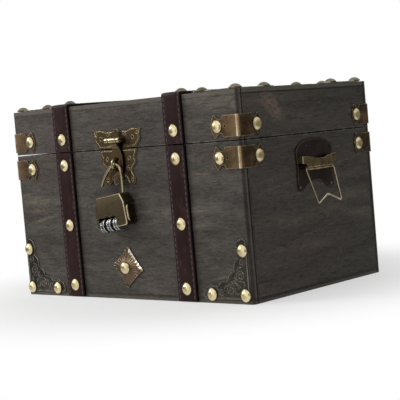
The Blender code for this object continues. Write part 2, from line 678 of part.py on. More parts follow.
# Dials with ten flats each, on a spindle with two washers
COLLAR = DIAL_RADIUS * 0.82
profile = [(SPINDLE_RADIUS, WINDOW_LEFT - JOURNAL)]
for gap in (0, 1):
    start = FIRST_DIAL + gap * DIAL_PITCH + DIAL_WIDTH / 2 + SEAT
    end = start + DIAL_PITCH - DIAL_WIDTH - 2 * SEAT
    profile += [(SPINDLE_RADIUS, start), (COLLAR, start), (COLLAR, end), (SPINDLE_RADIUS, end)]
profile += [(SPINDLE_RADIUS, WINDOW_RIGHT + JOURNAL)]
bm = turned(profile, 14)
bm.transform(LOCK @ SPINDLE)
spindle = add("padlock_spindle", bm, BLACK)
carry(case, shackle_pin, release, spindle)

flats = []
for digit in range(10):
    for angle, share in ((-13, 1), (13, 1), (18, 0.93)):
        turn = radians(36 * digit + angle)
        flats.append((DIAL_RADIUS * share * cos(turn), DIAL_RADIUS * share * sin(turn)))
for index in range(3):
    bm = sheet(flats, DIAL_WIDTH, [circle(0, 0, SPINDLE_RADIUS + SEAT, 12)])
    centre = FIRST_DIAL + index * DIAL_PITCH
    axis = LOCK @ SPINDLE @ Matrix.Translation((0, 0, centre))
    bm.transform(axis @ Matrix.Translation((0, 0, -DIAL_WIDTH / 2)))
    carry(case, hang(add(f"padlock_dial_{index + 1}", bm, SILVER), axis))

# End handles
HANDLE_Z = SEAM - HANDLE_DROP
HALF_PLATE = HANDLE_WIDTH / 2
BAIL_BORE = BAIL_WIRE + SEAT
BAND_EDGE = HALF_PLATE * 0.87
BAND_LIFT = BAIL_REACH + BAIL_BARREL - METAL
BAND_TAB = BAND_EDGE + BAND_LIFT - PLATE_FACE - SEAT
for side, frame, sign in (("right", RIGHT, 1), ("left", LEFT, -1)):
    base = at(frame, sign * HANDLE_Y, HANDLE_Z)
    shield = [
        (0, 0.49), (0.41, 0.47), (0.74, 0.42), (0.95, 0.335), (1, 0.24), (0.97, 0.08), (0.99, -0.14),
        (1, -0.29), (0.92, -0.355), (0.73, -0.365), (0.58, -0.315), (0.4, -0.26), (0.2, -0.23), (0, -0.22),
    ]
    outline = mirrored([(HALF_PLATE * u, HANDLE_WIDTH * v) for u, v in shield])
    screws = ((0.39, 0.37), (0.85, -0.3))
    holes = [circle(s * HALF_PLATE * u, HANDLE_WIDTH * v, METAL * 1.3) for u, v in screws for s in (-1, 1)]
    bm = sheet(outline, METAL, holes)
    bm.transform(base @ Matrix.Translation((0, 0, SEAT)))
    add(f"handle_plate_{side}", bm, BLACK)

    barrel_half = BAIL_WIDTH / 2 - BAIL_WIRE * 2.6
    band = [
        (0, 0.143), (HALF_PLATE * 0.24, 0.15), (HALF_PLATE * 0.46, 0.178), (HALF_PLATE * 0.7, 0.197),
        (BAND_EDGE, 0.2), (BAND_TAB, 0.192), (BAND_TAB, 0.088), (BAND_EDGE, 0.082), (HALF_PLATE * 0.74, 0.066),
    ]
    half = [(u, HANDLE_WIDTH * v) for u, v in band]
    half += [(barrel_half, BAIL_BARREL * 0.55), (0, BAIL_BARREL * 0.55)]
    bm = sheet(mirrored(half), METAL)
    for end in (-BAND_EDGE, BAND_EDGE):
        bmesh.ops.bisect_plane(
            bm, geom=bm.verts[:] + bm.edges[:] + bm.faces[:], plane_co=(end, 0, 0), plane_no=(1, 0, 0)
        )
    for vert in bm.verts:
        u, v, w = vert.co
        past = abs(u) - BAND_EDGE
        if past > -1e-6:
            out = BAND_LIFT + w if past < 1e-6 else BAND_LIFT - past
            vert.co = ((BAND_EDGE + w) * (1 if u > 0 else -1), v, out)
        else:
            vert.co.z = BAND_LIFT + w
    bm.transform(base)
    wings = add(f"handle_bracket_{side}", bm, BRASS)
    axis = base @ Matrix.Translation((0, 0, BAIL_REACH))
    bm = sleeve(BAIL_BARREL, BAIL_BORE, -barrel_half, barrel_half)
    bm.transform(axis @ ALONG_U)
    combine(wings, add("barrel", bm, BRASS), "UNION")

    half = BAIL_WIDTH / 2
    bail = [
        (-half * 0.6, 0, 0), (-half, 0, 0), (-half * 0.84, -BAIL_DROP, 0), (0, -BAIL_DROP * 0.76, 0),
        (half * 0.84, -BAIL_DROP, 0), (half, 0, 0), (half * 0.6, 0, 0),
    ]
    swing = axis @ Matrix.Rotation(-BAIL_TILT, 4, "X")
    path = [swing @ point for point in rounded(bail, BAIL_WIRE * 3.2, 4)]
    hang(wire(f"handle_bail_{side}", path, BAIL_WIRE, BRASS), axis)

# Back hinges: lid leaf with two outer knuckles, body leaf with the middle one, and a pin
HINGE_AXIS = PLATE_FACE + HINGE_RADIUS - METAL / 2
MIDDLE = HINGE_WIDTH * 0.2
for side, x in (("left", HINGE_X), ("right", -HINGE_X)):
    base = at(BACK, x, SEAM)
    half = HINGE_WIDTH / 2
    near = SEAT * 1.5
    clear = HINGE_RADIUS + SEAT * 2
    body_leaf = [(0, -near), (MIDDLE, -near), (MIDDLE, -clear)]
    body_leaf += [(half, -clear), (half, -HINGE_LEAF), (0, -HINGE_LEAF)]
    inner = MIDDLE + SEAT
    lid_leaf = [(0, HINGE_LEAF), (half, HINGE_LEAF), (half, near), (inner, near), (inner, clear), (0, clear)]
    spans = {"body": [(-MIDDLE, MIDDLE)], "lid": [(-half, -inner), (inner, half)]}
    for part, leaf, level in (("body", body_leaf, -1), ("lid", lid_leaf, 1)):
        holes = [circle(s * half * 0.62, level * HINGE_LEAF * 0.6, METAL * 1.4) for s in (-1, 1)]
        bm = sheet(mirrored(leaf), METAL, holes)
        bm.transform(base @ Matrix.Translation((0, 0, SEAT)))
        obj = add(f"hinge_{part}_leaf_{side}", bm, BRASS)
        for low, high in spans[part]:
            bm = sleeve(HINGE_RADIUS, BORE, low, high)
            bm.transform(base @ Matrix.Translation((0, 0, HINGE_AXIS)) @ ALONG_U)
            combine(obj, add("knuckle", bm, BRASS), "UNION")
    bm = rod(PIN_RADIUS, -half, half)
    bm.transform(base @ Matrix.Translation((0, 0, HINGE_AXIS)) @ ALONG_U)
    add(f"hinge_pin_{side}", bm, BRASS)

# The lid's pieces hang on an empty on the hinge axis
lid_axis = bpy.data.objects.new("axis_of_the_lid", None)
lid_axis.location = at(BACK, 0, SEAM, HINGE_AXIS).translation
bpy.context.scene.collection.objects.link(lid_axis)
carry(lid_axis, hasp_upper, tongue)
for obj in bpy.data.objects:
    if obj.name.startswith(("lid_", "hinge_lid_", "hasp_pin")):
        carry(lid_axis, obj)
    if obj.type == "MESH":
        obj.data.shade_smooth()
        obj.data.set_sharp_from_angle(angle=radians(38))
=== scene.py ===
"""Looks of the small treasure chest: stained boards, stitched straps, dome nails and aged fittings."""
import json
from functools import partialmethod
from math import asin, cos, exp, hypot, pi, radians, sin

import bmesh
import bpy
from mathutils import Matrix, Vector

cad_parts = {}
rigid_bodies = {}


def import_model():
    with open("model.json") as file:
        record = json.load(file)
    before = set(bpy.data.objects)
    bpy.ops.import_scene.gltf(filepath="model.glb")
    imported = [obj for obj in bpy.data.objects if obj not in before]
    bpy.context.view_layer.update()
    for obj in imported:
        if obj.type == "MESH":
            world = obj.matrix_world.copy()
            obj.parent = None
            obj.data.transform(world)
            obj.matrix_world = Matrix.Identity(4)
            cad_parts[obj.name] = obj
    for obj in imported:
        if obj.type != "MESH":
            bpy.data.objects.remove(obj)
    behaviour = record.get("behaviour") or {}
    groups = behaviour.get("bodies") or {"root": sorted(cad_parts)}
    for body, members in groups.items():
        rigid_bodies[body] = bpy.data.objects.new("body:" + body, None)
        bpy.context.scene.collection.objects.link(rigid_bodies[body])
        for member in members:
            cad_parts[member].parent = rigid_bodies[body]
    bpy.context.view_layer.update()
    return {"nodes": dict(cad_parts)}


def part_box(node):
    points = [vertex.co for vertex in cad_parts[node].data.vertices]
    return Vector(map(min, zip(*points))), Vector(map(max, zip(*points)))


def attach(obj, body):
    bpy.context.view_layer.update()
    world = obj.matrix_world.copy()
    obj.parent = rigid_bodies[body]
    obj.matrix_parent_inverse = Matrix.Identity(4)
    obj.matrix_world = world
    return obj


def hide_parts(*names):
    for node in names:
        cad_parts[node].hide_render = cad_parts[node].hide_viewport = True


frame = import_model()
nodes = frame["nodes"]

# Boards of the box and the lid
# Ten thin plywood boards, glued at the corners and stained a dark grey-brown that lets pale
# streaks of the grain through. The stain is rubbed thin along the outer edges.
# Painted shade darkens the rounded corners, and a painted highlight line runs beside them on the end boards.
half_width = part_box("body_front_panel")[1].x
half_depth = -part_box("body_front_panel")[0].y
chest_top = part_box("lid_top_panel")[1].z
seam = (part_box("body_front_panel")[1].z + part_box("lid_front_panel")[0].z) / 2
RUBBED_EDGE = 0.0016
GLUE_LINE = 0.0009
CORNER_ROUND = 0.0032
CORNER_STEPS = 8
END_GRAIN = 0.0047
ARRIS = 0.0023
TOP_LINE = 0.0039
FOOT_LINE = 0.003
SEAM_COVER = 0.00078
FACE_DEPTH = 0.001
WOOD_RELIEF = 0.00018
MERGE_DISTANCE = 1e-7
BEVEL_ANGLE = radians(40)


class Shade:
    """Output of a shader node. Arithmetic on it adds the maths nodes that it takes."""

    def __init__(self, node, output=0):
        self.socket = node.outputs[output]
        self.tree = node.id_data

    def maths(self, operation, other=0.0):
        return Shade(put(self.tree, "ShaderNodeMath", {"operation": operation}, i0=self, i1=other))

    def __rsub__(self, other):
        return Shade(put(self.tree, "ShaderNodeMath", {"operation": "SUBTRACT"}, i0=other, i1=self))


operators = {
    "__add__": "ADD", "__sub__": "SUBTRACT", "__mul__": "MULTIPLY", "__truediv__": "DIVIDE",
    "__pow__": "POWER", "__abs__": "ABSOLUTE",
}
for method, operation in operators.items():
    setattr(Shade, method, partialmethod(Shade.maths, operation))


def put(tree, kind, settings=(), **inputs):
    """Adds a shader node. Inputs are constants or shades; i0, i1 name a socket by its number."""
    made = tree.nodes.new(kind)
    for key, value in dict(settings).items():
        setattr(made, key, value)
    for key, value in inputs.items():
        numbered = key[0] == "i" and key[1:].isdigit()
        socket = made.inputs[int(key[1:]) if numbered else key.replace("_", " ")]
        if isinstance(value, Shade):
            tree.links.new(value.socket, socket)
        else:
            socket.default_value = (*value, 1) if socket.type == "RGBA" else value
    return made


def shades(node):
    return [Shade(node, k) for k in range(len(node.outputs))]


def parts_of(vector):
    return shades(put(vector.tree, "ShaderNodeSeparateXYZ", Vector=vector))


def most(first, *others):
    """Largest of several masks."""
    for other in others:
        first = first.maths("MAXIMUM", other)
    return first


def spread(value, low, high, to_low=0.0, to_high=1.0):
    """Value from low to high, eased to the new limits and held there."""
    return Shade(put(
        value.tree, "ShaderNodeMapRange", {"interpolation_type": "SMOOTHSTEP"},
        Value=value, From_Min=low, From_Max=high, To_Min=to_low, To_Max=to_high,
    ))


def mixed(share, a, b, mode="MIX"):
    tree = next(value.tree for value in (share, a) if isinstance(value, Shade))
    settings = {"data_type": "RGBA", "blend_type": mode}
    return Shade(put(tree, "ShaderNodeMix", settings, i0=share, i6=a, i7=b), 2)


def clouds(vector, scale, detail=3.0, roughness=0.5, distortion=0.0):
    return Shade(put(
        vector.tree, "ShaderNodeTexNoise",
        Vector=vector, Scale=scale, Detail=detail, Roughness=roughness, Distortion=distortion,
    ))


def stretched(vector, scale, turn=0.0, shift=(0, 0, 0)):
    moves = {"Scale": scale, "Rotation": (0, 0, turn), "Location": shift}
    return Shade(put(vector.tree, "ShaderNodeMapping", Vector=vector, **moves))


def steps_of(value, *stops):
    """Colour ramp with (place, colour) stops."""
    ramp = put(value.tree, "ShaderNodeValToRGB", Fac=value)
    bands = ramp.color_ramp.elements
    while len(bands) < len(stops):
        bands.new(1.0)
    for band, (place, colour) in zip(bands, stops):
        band.position = place
        band.color = (*colour, 1)
    return Shade(ramp)


def effect(name, inputs, outputs):
    """Empty node group with its sockets; returns its tree, and its inputs as a dictionary of shades."""
    tree = bpy.data.node_groups.new(name, "ShaderNodeTree")
    for way, sockets in (("INPUT", inputs), ("OUTPUT", outputs)):
        for label, kind in sockets.items():
            tree.interface.new_socket(label, in_out=way, socket_type="NodeSocket" + kind)
    entry = tree.nodes.new("NodeGroupInput")
    return tree, {label: Shade(entry, label) for label in inputs}


def close(tree, **results):
    put(tree, "NodeGroupOutput", **results)


def applied(group, **inputs):
    """Outputs of an effect, used in the tree that its vector comes from."""
    return shades(put(inputs["Vector"].tree, "ShaderNodeGroup", {"node_tree": group}, **inputs))


def material(name, metallic=0.0, specular=0.5):
    """New material and its shader."""
    made = bpy.data.materials.new(name)
    made.use_nodes = True
    shader = made.node_tree.nodes["Principled BSDF"]
    shader.inputs["Metallic"].default_value = metallic
    shader.inputs["Specular IOR Level"].default_value = specular
    return made, shader


def coordinates(shader, kind="Object"):
    return Shade(put(shader.id_data, "ShaderNodeTexCoord"), kind)


def wire_up(shader, colour, roughness, height, depth):
    """Colour, roughness and a bump of the stated depth into the shader."""
    bump = Shade(put(colour.tree, "ShaderNodeBump", Height=height, Distance=depth, Strength=1.0))
    for value, socket in ((colour, "Base Color"), (roughness, "Roughness"), (bump, "Normal")):
        colour.tree.links.new(value.socket, shader.inputs[socket])


surface = {"Color": "Color", "Roughness": "Float", "Height": "Float"}
grain, given = effect(
    "stained_grain", {"Vector": "Vector", "Rubbed": "Float", "Groove": "Float", "Contrast": "Float"}, surface
)
along = given["Vector"]
fibre = clouds(stretched(along, (170, 860, 860)), 1.0, 3.0, 0.6, 1.3)
ripple = clouds(stretched(along, (60, 260, 260), shift=(2, 5, 1)), 1.0, 3.0, 0.55, 1.2)
figure = clouds(stretched(along, (9, 46, 46)), 1.0, 3.0, 0.55, 1.1)
flame = clouds(stretched(along, (2.6, 15, 15), shift=(4, 0, 2)), 1.0, 2.0, 0.5, 1.8)
blotch = clouds(stretched(along, (8, 11, 11), shift=(1, 3, 7)), 1.0, 2.0)
pore = clouds(stretched(along, (85, 1000, 1000)), 1.0, 1.0)
tone = steps_of(
    figure,
    (0.30, (0.050, 0.044, 0.038)), (0.48, (0.065, 0.058, 0.050)),
    (0.60, (0.073, 0.065, 0.056)), (0.74, (0.096, 0.085, 0.072)),
)
tone = mixed(spread(flame, 0.60, 0.74, 0.0, 0.6), tone, (0.128, 0.114, 0.092))
tone = mixed(spread(blotch, 0.48, 0.74, 0.0, 0.6), tone, (0.078, 0.056, 0.045))
line = fibre * 0.66 + ripple * 0.34
contrast = steps_of(line, (0.36, (0.50,) * 3), (0.50, (1.0,) * 3), (0.66, (1.62,) * 3))
tone = mixed(given["Contrast"], tone, mixed(1.0, tone, contrast, "MULTIPLY"))
tone = mixed(spread(pore, 0.62, 0.74, 0.0, 0.55), tone, (0.020, 0.017, 0.015))
# Rubbed edges, and the painted highlight line beside the rounded corners.
tone = mixed(given["Rubbed"], tone, (0.150, 0.136, 0.112))
# Dark glue lines and grooves, and painted shade on the rounded corners.
tone = mixed(given["Groove"], tone, (0.010, 0.009, 0.008))
close(
    grain, Color=tone, Roughness=spread(line, 0.35, 0.65, 0.66, 0.52),
    Height=line - spread(pore, 0.62, 0.74) * 0.4,
)

edges, given = effect("board_edges", {"Vector": "Vector"}, {"Mask": "Float", "Groove": "Float"})
x, y, level = parts_of(given["Vector"])
end_gap = abs(x)
face_gap = abs(y)
near_end = spread(end_gap, half_width - RUBBED_EDGE, half_width)
near_face = spread(face_gap, half_depth - RUBBED_EDGE, half_depth)
near_flat = most(
    spread(abs(level - seam), RUBBED_EDGE, RUBBED_EDGE / 4),
    spread(level, chest_top - RUBBED_EDGE, chest_top), spread(level, RUBBED_EDGE, 0),
)
broken = spread(clouds(given["Vector"], 160.0, 3.0), 0.42, 0.62)


def joint_line(value, place):
    """One on a glue line at place, fading out beside it."""
    return spread(abs(value - place), GLUE_LINE, GLUE_LINE * 0.4)


on_end = spread(end_gap, half_width - FACE_DEPTH, half_width - FACE_DEPTH / 2)
on_front = spread(face_gap, half_depth - FACE_DEPTH, half_depth - FACE_DEPTH / 2)
flats = most(joint_line(level, chest_top - TOP_LINE), joint_line(level, FOOT_LINE))
# arris: painted shade on the rounded corners, where they turn away from the light.
arris = spread(end_gap, half_width - ARRIS * 1.1, half_width - ARRIS * 0.7)
arris *= spread(face_gap, half_depth - ARRIS, half_depth - ARRIS * 0.6, 0.0, 0.5)
# glint: a painted highlight line on the end boards beside the rounded corner.
glint = joint_line(face_gap, half_depth - ARRIS * 1.25) * on_end
band = most(
    spread(level, chest_top - TOP_LINE, chest_top - TOP_LINE * 0.7, 0.0, 0.5),
    spread(level, FOOT_LINE, FOOT_LINE * 0.7, 0.0, 0.35),
)
rubbed = most(near_end * near_face, near_flat * most(near_end, near_face)) * broken
close(
    edges, Mask=most(rubbed, glint * 0.35, band * most(on_end, on_front)),
    Groove=most(
        joint_line(face_gap, half_depth - END_GRAIN) * on_end,
        flats * spread(end_gap, half_width - FACE_DEPTH, half_width, 0.2, 0.6), arris,
    ),
)


def stained_boards(name, turn, contrast, marks):
    """Wood with its grain along X, or along Y at a quarter turn; marks are pale streaks on one face."""
    made, shader = material(name, specular=0.12)
    spot = coordinates(shader)
    mask, groove_and_shade = applied(edges, Vector=spot)
    tone, roughness, height = applied(
        grain, Vector=stretched(spot, (1, 1, 1), turn), Rubbed=mask, Groove=groove_and_shade, Contrast=contrast
    )
    x, y, z = parts_of(spot)
    if turn:
        shown_face = spread(x, half_width - FACE_DEPTH, half_width - FACE_DEPTH / 2)
    else:
        shown_face = spread(y, FACE_DEPTH / 2 - half_depth, FACE_DEPTH / 10 - half_depth)
    ragged = clouds(stretched(spot, (1, 1, 1.6)), 260.0, 4.0, 0.65)
    for across, level, rise, length, width, share, colour in marks:
        u = (y if turn else x) - across
        v = z - level - u * rise
        far = (u / length) ** 2.0 + (v / width) ** 2.0
        inside = spread(far, 1.0, 0.1) * spread(ragged, 0.36, 0.6) * shown_face * share
        tone = mixed(inside, tone, colour)
    wire_up(shader, tone, roughness, height, WOOD_RELIEF)
    return made


STRAW = (0.165, 0.145, 0.092)
RUST = (0.190, 0.130, 0.105)
front_marks = [
    (-0.104, 0.0680, 0.21, 0.026, 0.0020, 0.65, STRAW), (-0.106, 0.0835, 0.03, 0.026, 0.0055, 0.3, STRAW),
    (-0.112, 0.0760, 0.10, 0.020, 0.0030, 0.4, RUST), (0.1010, 0.0197, 0.17, 0.015, 0.0014, 0.6, STRAW),
    (0.0916, 0.1017, 0.0, 0.011, 0.0011, 0.8, RUST), (-0.030, 0.0800, 0.08, 0.022, 0.0020, 0.35, STRAW),
]
end_marks = [
    (0.0, 0.0935, 0.15, 0.110, 0.0009, 0.55, STRAW), (-0.044, 0.1500, -0.6, 0.016, 0.0120, 0.8, RUST),
    (0.010, 0.0480, 0.15, 0.090, 0.0009, 0.35, STRAW), (0.020, 0.0650, 0.16, 0.070, 0.0060, 0.25, STRAW),
]
long_boards = stained_boards("stained_long_boards", 0.0, 0.8, front_marks)
end_boards = stained_boards("stained_end_boards", pi / 2, 0.6, end_marks)


def stamped(outline, thick, holes=()):
    """Flat stamping: an outline with holes, from w = 0 to thick."""
    bm = bmesh.new()
    rims = []
    for loop in (outline, *holes):
        ring = [bm.verts.new((u, v, 0)) for u, v in loop]
        rims += [bm.edges.new(pair) for pair in zip(ring, ring[1:] + ring[:1])]
    if holes:
        bmesh.ops.triangle_fill(bm, use_beauty=True, edges=rims)
    else:
        bm.faces.new(bm.verts)
    grown = bmesh.ops.extrude_face_region(bm, geom=bm.faces[:])["geom"]
    moved = [part for part in grown if isinstance(part, bmesh.types.BMVert)]
    bmesh.ops.translate(bm, vec=(0, 0, thick), verts=moved)
    return bm


def rounded(corners, steps):
    """Outline with (u, v, radius) corners, from the upper right one round to the lower right."""
    out = []
    for quarter, (u, v, radius) in enumerate(corners):
        right = 1 if quarter in (0, 3) else -1
        upper = 1 if quarter < 2 else -1
        for k in range(steps + 1 if radius else 1):
            turn = pi / 2 * (quarter + k / steps)
            out.append((u + radius * (cos(turn) - right), v + radius * (sin(turn) - upper)))
    return out


def mesh_of(name, bm):
    mesh = bpy.data.meshes.new(name)
    bm.to_mesh(mesh)
    bm.free()
    return mesh


def linked(name, data):
    """New object in the scene."""
    obj = bpy.data.objects.new(name, data)
    bpy.context.scene.collection.objects.link(obj)
    return obj


def piece(name, bm, look, body, stands_for="", bevel=0.0, sharp=35):
    """Finished piece from a mesh: shaded, with eased edges, riding on a body in place of a solid."""
    bmesh.ops.remove_doubles(bm, verts=bm.verts, dist=MERGE_DISTANCE)
    bmesh.ops.recalc_face_normals(bm, faces=bm.faces)
    mesh = mesh_of(name, bm)
    mesh.materials.append(look)
    mesh.shade_smooth()
    mesh.set_sharp_from_angle(angle=radians(sharp))
    obj = linked(name, mesh)
    if bevel:
        eased_edges = obj.modifiers.new("eased_edges", "BEVEL")
        eased_edges.width = bevel
        eased_edges.segments = 2
        eased_edges.limit_method = "ANGLE"
        eased_edges.angle_limit = BEVEL_ANGLE
        eased_edges.harden_normals = True
    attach(obj, body)
    if stands_for:
        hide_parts(stands_for)
    return obj


for name in sorted(nodes):
    if not name.endswith("_panel"):
        continue
    low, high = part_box(name)
    if name == "lid_back_panel":
        low.z -= SEAM_COVER
    if name.startswith("lid") and "top" not in name:
        high.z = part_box("lid_top_panel")[0].z
    corners = []
    for x, y in ((high.x, high.y), (low.x, high.y), (low.x, low.y), (high.x, low.y)):
        outer = abs(x) > half_width - GLUE_LINE and abs(y) > half_depth - GLUE_LINE
        corners.append((x, y, CORNER_ROUND if outer else 0))
    bm = stamped(rounded(corners, CORNER_STEPS), high.z - low.z)
    bm.transform(Matrix.Translation((0, 0, low.z)))
    look = end_boards if "left_panel" in name or "right_panel" in name else long_boards
    body = "lid" if name.startswith("lid") else "chest"
    piece(name.replace("panel", "board"), bm, look, body, name)

# Dome nails
# Pressed brass upholstery nails with a pale polish, one mesh for each strap, bracket or plate
# that they hold. Each head is a shallow dome whose rim bites into what is under it.
NAIL_RADIUS = 0.0052
NAIL_RISE = 0.003
NAIL_BITE = 0.0003
NAIL_LIP = 0.0001
NAIL_ROLL = 0.00042
NAIL_STEPS = 28
METAL_RELIEF = 0.00006
FINE_RELIEF = 0.00003
COARSE_RELIEF = 0.00008


def on_face(u, v, origin):
    """Matrix from a face's own u, v, w to the chest; w points out of the wood."""
    u = Vector(u)
    v = Vector(v)
    matrix = Matrix((u, v, u.cross(v))).transposed().to_4x4()
    matrix.translation = Vector(origin)
    return matrix


front = on_face((1, 0, 0), (0, 0, 1), (0, -half_depth, 0))
back = on_face((-1, 0, 0), (0, 0, 1), (0, half_depth, 0))
right = on_face((0, 1, 0), (0, 0, 1), (half_width, 0, 0))
left = on_face((0, -1, 0), (0, 0, 1), (-half_width, 0, 0))
top = on_face((1, 0, 0), (0, 1, 0), (0, 0, chest_top))


def at(face, u, v, w=0.0):
    return face @ Matrix.Translation((u, v, w))


def circle(u, v, radius, steps=20):
    turns = [2 * pi * k / steps for k in range(steps)]
    return [(u + radius * cos(turn), v + radius * sin(turn)) for turn in turns]


def skin(bm, rings, along=False, sheet=False):
    """Faces between rings of points: capped at both ends, joined end to start, or an open sheet."""
    rings = [[bm.verts.new(point) for point in ring] for ring in rings]
    count = len(rings[0])
    for a, b in zip(rings, rings[1:] + (rings[:1] if along else [])):
        for k in range(count - 1 if sheet else count):
            n = (k + 1) % count
            bm.faces.new((a[k], a[n], b[n], b[k]))
    if not (along or sheet):
        bm.faces.new(rings[0])
        bm.faces.new(rings[-1])


def spun(bm, profile, steps, place, closed=False):
    """Turned form about w from (radius, w) points, added to a mesh."""
    rings = [[place @ Vector((u, v, w)) for u, v in circle(0, 0, r, steps)] for r, w in profile]
    skin(bm, rings, along=closed)


def second_finish(obj, look, chosen):
    """Another material on the chosen faces."""
    obj.data.materials.append(look)
    for face in obj.data.polygons:
        if chosen(face):
            face.material_index = len(obj.data.materials) - 1


def nails(name, places, body):
    """All nail heads that hold one piece: darker on top and at the ends as painted shade, with tarnish and
    painted shade round each rim.
    """
    ball = (NAIL_RADIUS**2 + NAIL_RISE**2) / (2 * NAIL_RISE)
    widest = asin(NAIL_RADIUS / ball)
    profile = [(NAIL_RADIUS * 0.99, -NAIL_BITE), (NAIL_RADIUS, NAIL_LIP), (NAIL_RADIUS * 0.985, NAIL_ROLL)]
    for share in (0.88, 0.74, 0.6, 0.45, 0.3, 0.15, 0.05):
        profile.append((ball * sin(widest * share), ball * cos(widest * share) - ball + NAIL_RISE))
    bm = bmesh.new()
    for place in places:
        spun(bm, profile, NAIL_STEPS, place)
    heads = piece(name, bm, pale_brass, body)

    def away(face, place):
        return (face.center - place.translation).length

    def outward(face):
        return min(places, key=lambda place: away(face, place)).col[2]

    # Nails on top and on the ends get darker copies of the brass: painted shade.
    second_finish(heads, top_shaded_brass, lambda face: outward(face).z > 0.5)
    second_finish(heads, end_shaded_brass, lambda face: abs(outward(face).x) > 0.5)
    # A dark ring round each rim: tarnish, and painted shade where the head meets what is under it.
    rim = NAIL_RADIUS * 0.9
    second_finish(heads, rim_tarnish_and_shade_brass, lambda face: min(away(face, place) for place in places) > rim)


aged, given = effect(
    "aged_metal",
    {
        "Vector": "Vector", "Metal": "Color", "Tarnish": "Color", "Worn": "Color",
        "Age": "Float", "Edge": "Float", "Reach": "Float", "Polish": "Float",
    },
    surface,
)
stain = clouds(given["Vector"], 120.0, 4.0, 0.55)
speck = clouds(given["Vector"], 1500.0, 3.0, 0.6)
rub = clouds(given["Vector"], 520.0, 2.0, 0.5)
colour = mixed(spread(stain, 0.36, 0.66) * given["Age"], given["Metal"], given["Tarnish"])
colour = mixed(spread(speck, 0.56, 0.72) * given["Age"], colour, given["Tarnish"])
softened = Shade(put(aged, "ShaderNodeBevel", {"samples": 6}, Radius=given["Reach"]))
flat = Shade(put(aged, "ShaderNodeNewGeometry"), "Normal")
alike = Shade(put(aged, "ShaderNodeVectorMath", {"operation": "DOT_PRODUCT"}, i0=softened, i1=flat), "Value")
rubbed = spread(1.0 - alike, 0.02, 0.2) * spread(rub, 0.26, 0.56) * given["Edge"]
close(
    aged, Color=mixed(rubbed, colour, given["Worn"]),
    Roughness=spread(stain, 0.3, 0.7, 0.0, 0.2) + given["Polish"] - rubbed * 0.08,
    Height=stain + speck * 0.25,
)


def aged_finish(spot, metal, tarnish, worn, age, edge, reach=0.0006, polish=0.25):
    """Colour, roughness and height of aged metal."""
    return applied(
        aged, Vector=spot, Metal=metal, Tarnish=tarnish, Worn=worn, Age=age, Edge=edge, Reach=reach,
        Polish=polish,
    )


def aged_metal(name, metal, tarnish, worn, age, edge, depth=METAL_RELIEF, **finish):
    made, shader = material(name, metallic=1.0)
    wire_up(shader, *aged_finish(coordinates(shader), metal, tarnish, worn, age, edge, **finish), depth)
    return made


def nail_brass(name, metallic, crown_edge, crown_share):
    """Pale brass with a painted dark olive reflection on the crown, where a nail faces straight out."""
    made, shader = material(name, metallic=metallic)
    tone, roughness, height = aged_finish(
        coordinates(shader), (0.84, 0.735, 0.46), (0.42, 0.32, 0.14), (0.92, 0.85, 0.64), 0.35, 0.3,
        polish=0.17,
    )
    straight = most(*(abs(part) for part in parts_of(coordinates(shader, "Normal"))))
    # crown: painted dark reflection in the middle of each head.
    crown = spread(straight, crown_edge, crown_edge + 0.1, 0.0, crown_share)
    wire_up(shader, mixed(crown, tone, (0.46, 0.35, 0.155)), roughness, height, FINE_RELIEF)
    return made


pale_brass = nail_brass("pale_brass", 1.0, 0.86, 0.6)
# A less metallic copy with a fuller dark crown: painted shade for the nails on the ends.
end_shaded_brass = nail_brass("end_shaded_brass", 0.45, 0.78, 0.95)
# A darker copy for the nails on top: painted shade.
top_shaded_brass = aged_metal(
    "top_shaded_brass", (0.20, 0.18, 0.125), (0.09, 0.075, 0.05), (0.50, 0.45, 0.33), 0.8, 0.3, FINE_RELIEF
)
# Tarnish and painted shade for the rims of the nail heads.
rim_tarnish_and_shade_brass = aged_metal(
    "rim_tarnish_and_shade_brass", (0.20, 0.150, 0.066), (0.075, 0.048, 0.020), (0.60, 0.50, 0.28), 0.7, 0.3, FINE_RELIEF
)

# Leather straps
# Burgundy-brown leather strips, two round the lid and two up the front and back of the body,
# creased along both edges with a line of thread and held by dome nails.
STRAP_WIDTH = 0.0205
STRAP_THICK = 0.0025
STRAP_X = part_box("lid_strap_right")[0].x + STRAP_WIDTH / 2
STRAP_SEAT = 0.0003
STRAP_STEP = 0.003
NAIL_INSET = 0.0108
DIMPLE_RADIUS = 0.0062
DIMPLE_DEPTH = 0.00045
STITCH_INSET = 0.0023
STITCH_PITCH = 0.0046
STITCH_LENGTH = 0.0031
STITCH_SINK = 0.0002
THREAD_WIDTH = 0.0004
THREAD_RISE = 0.0003
THREAD_RELIEF = 0.00005
LEATHER_RELIEF = 0.00016
INK_AND_SHADOW_START = 0.0011
INK_AND_SHADOW_FULL = 0.0005

strap_leather, shader = material("strap_leather", specular=0.1)
spot = coordinates(shader)
pebble = put(spot.tree, "ShaderNodeTexVoronoi", {"feature": "SMOOTH_F1"}, Vector=spot, Scale=1150.0)
pebble = Shade(pebble, "Distance")
worn = clouds(stretched(spot, (1.0, 0.45, 0.45)), 190.0, 4.0, 0.6)
across = abs(abs(parts_of(spot)[0]) - STRAP_X)
tone = steps_of(clouds(spot, 38.0, 3.0), (0.3, (0.016, 0.0060, 0.0054)), (0.7, (0.027, 0.0110, 0.0098)))
tone = mixed(spread(worn, 0.56, 0.74, 0.0, 0.55), tone, (0.075, 0.036, 0.036))
tone = mixed(spread(pebble, 0.55, 0.8, 0.0, 0.45), tone, (0.012, 0.005, 0.005))
# Painted sheen: the strap lightens towards its edges.
tone = mixed(spread(across, STRAP_WIDTH * 0.26, STRAP_WIDTH * 0.42, 0.0, 0.5), tone, (0.040, 0.024, 0.028))
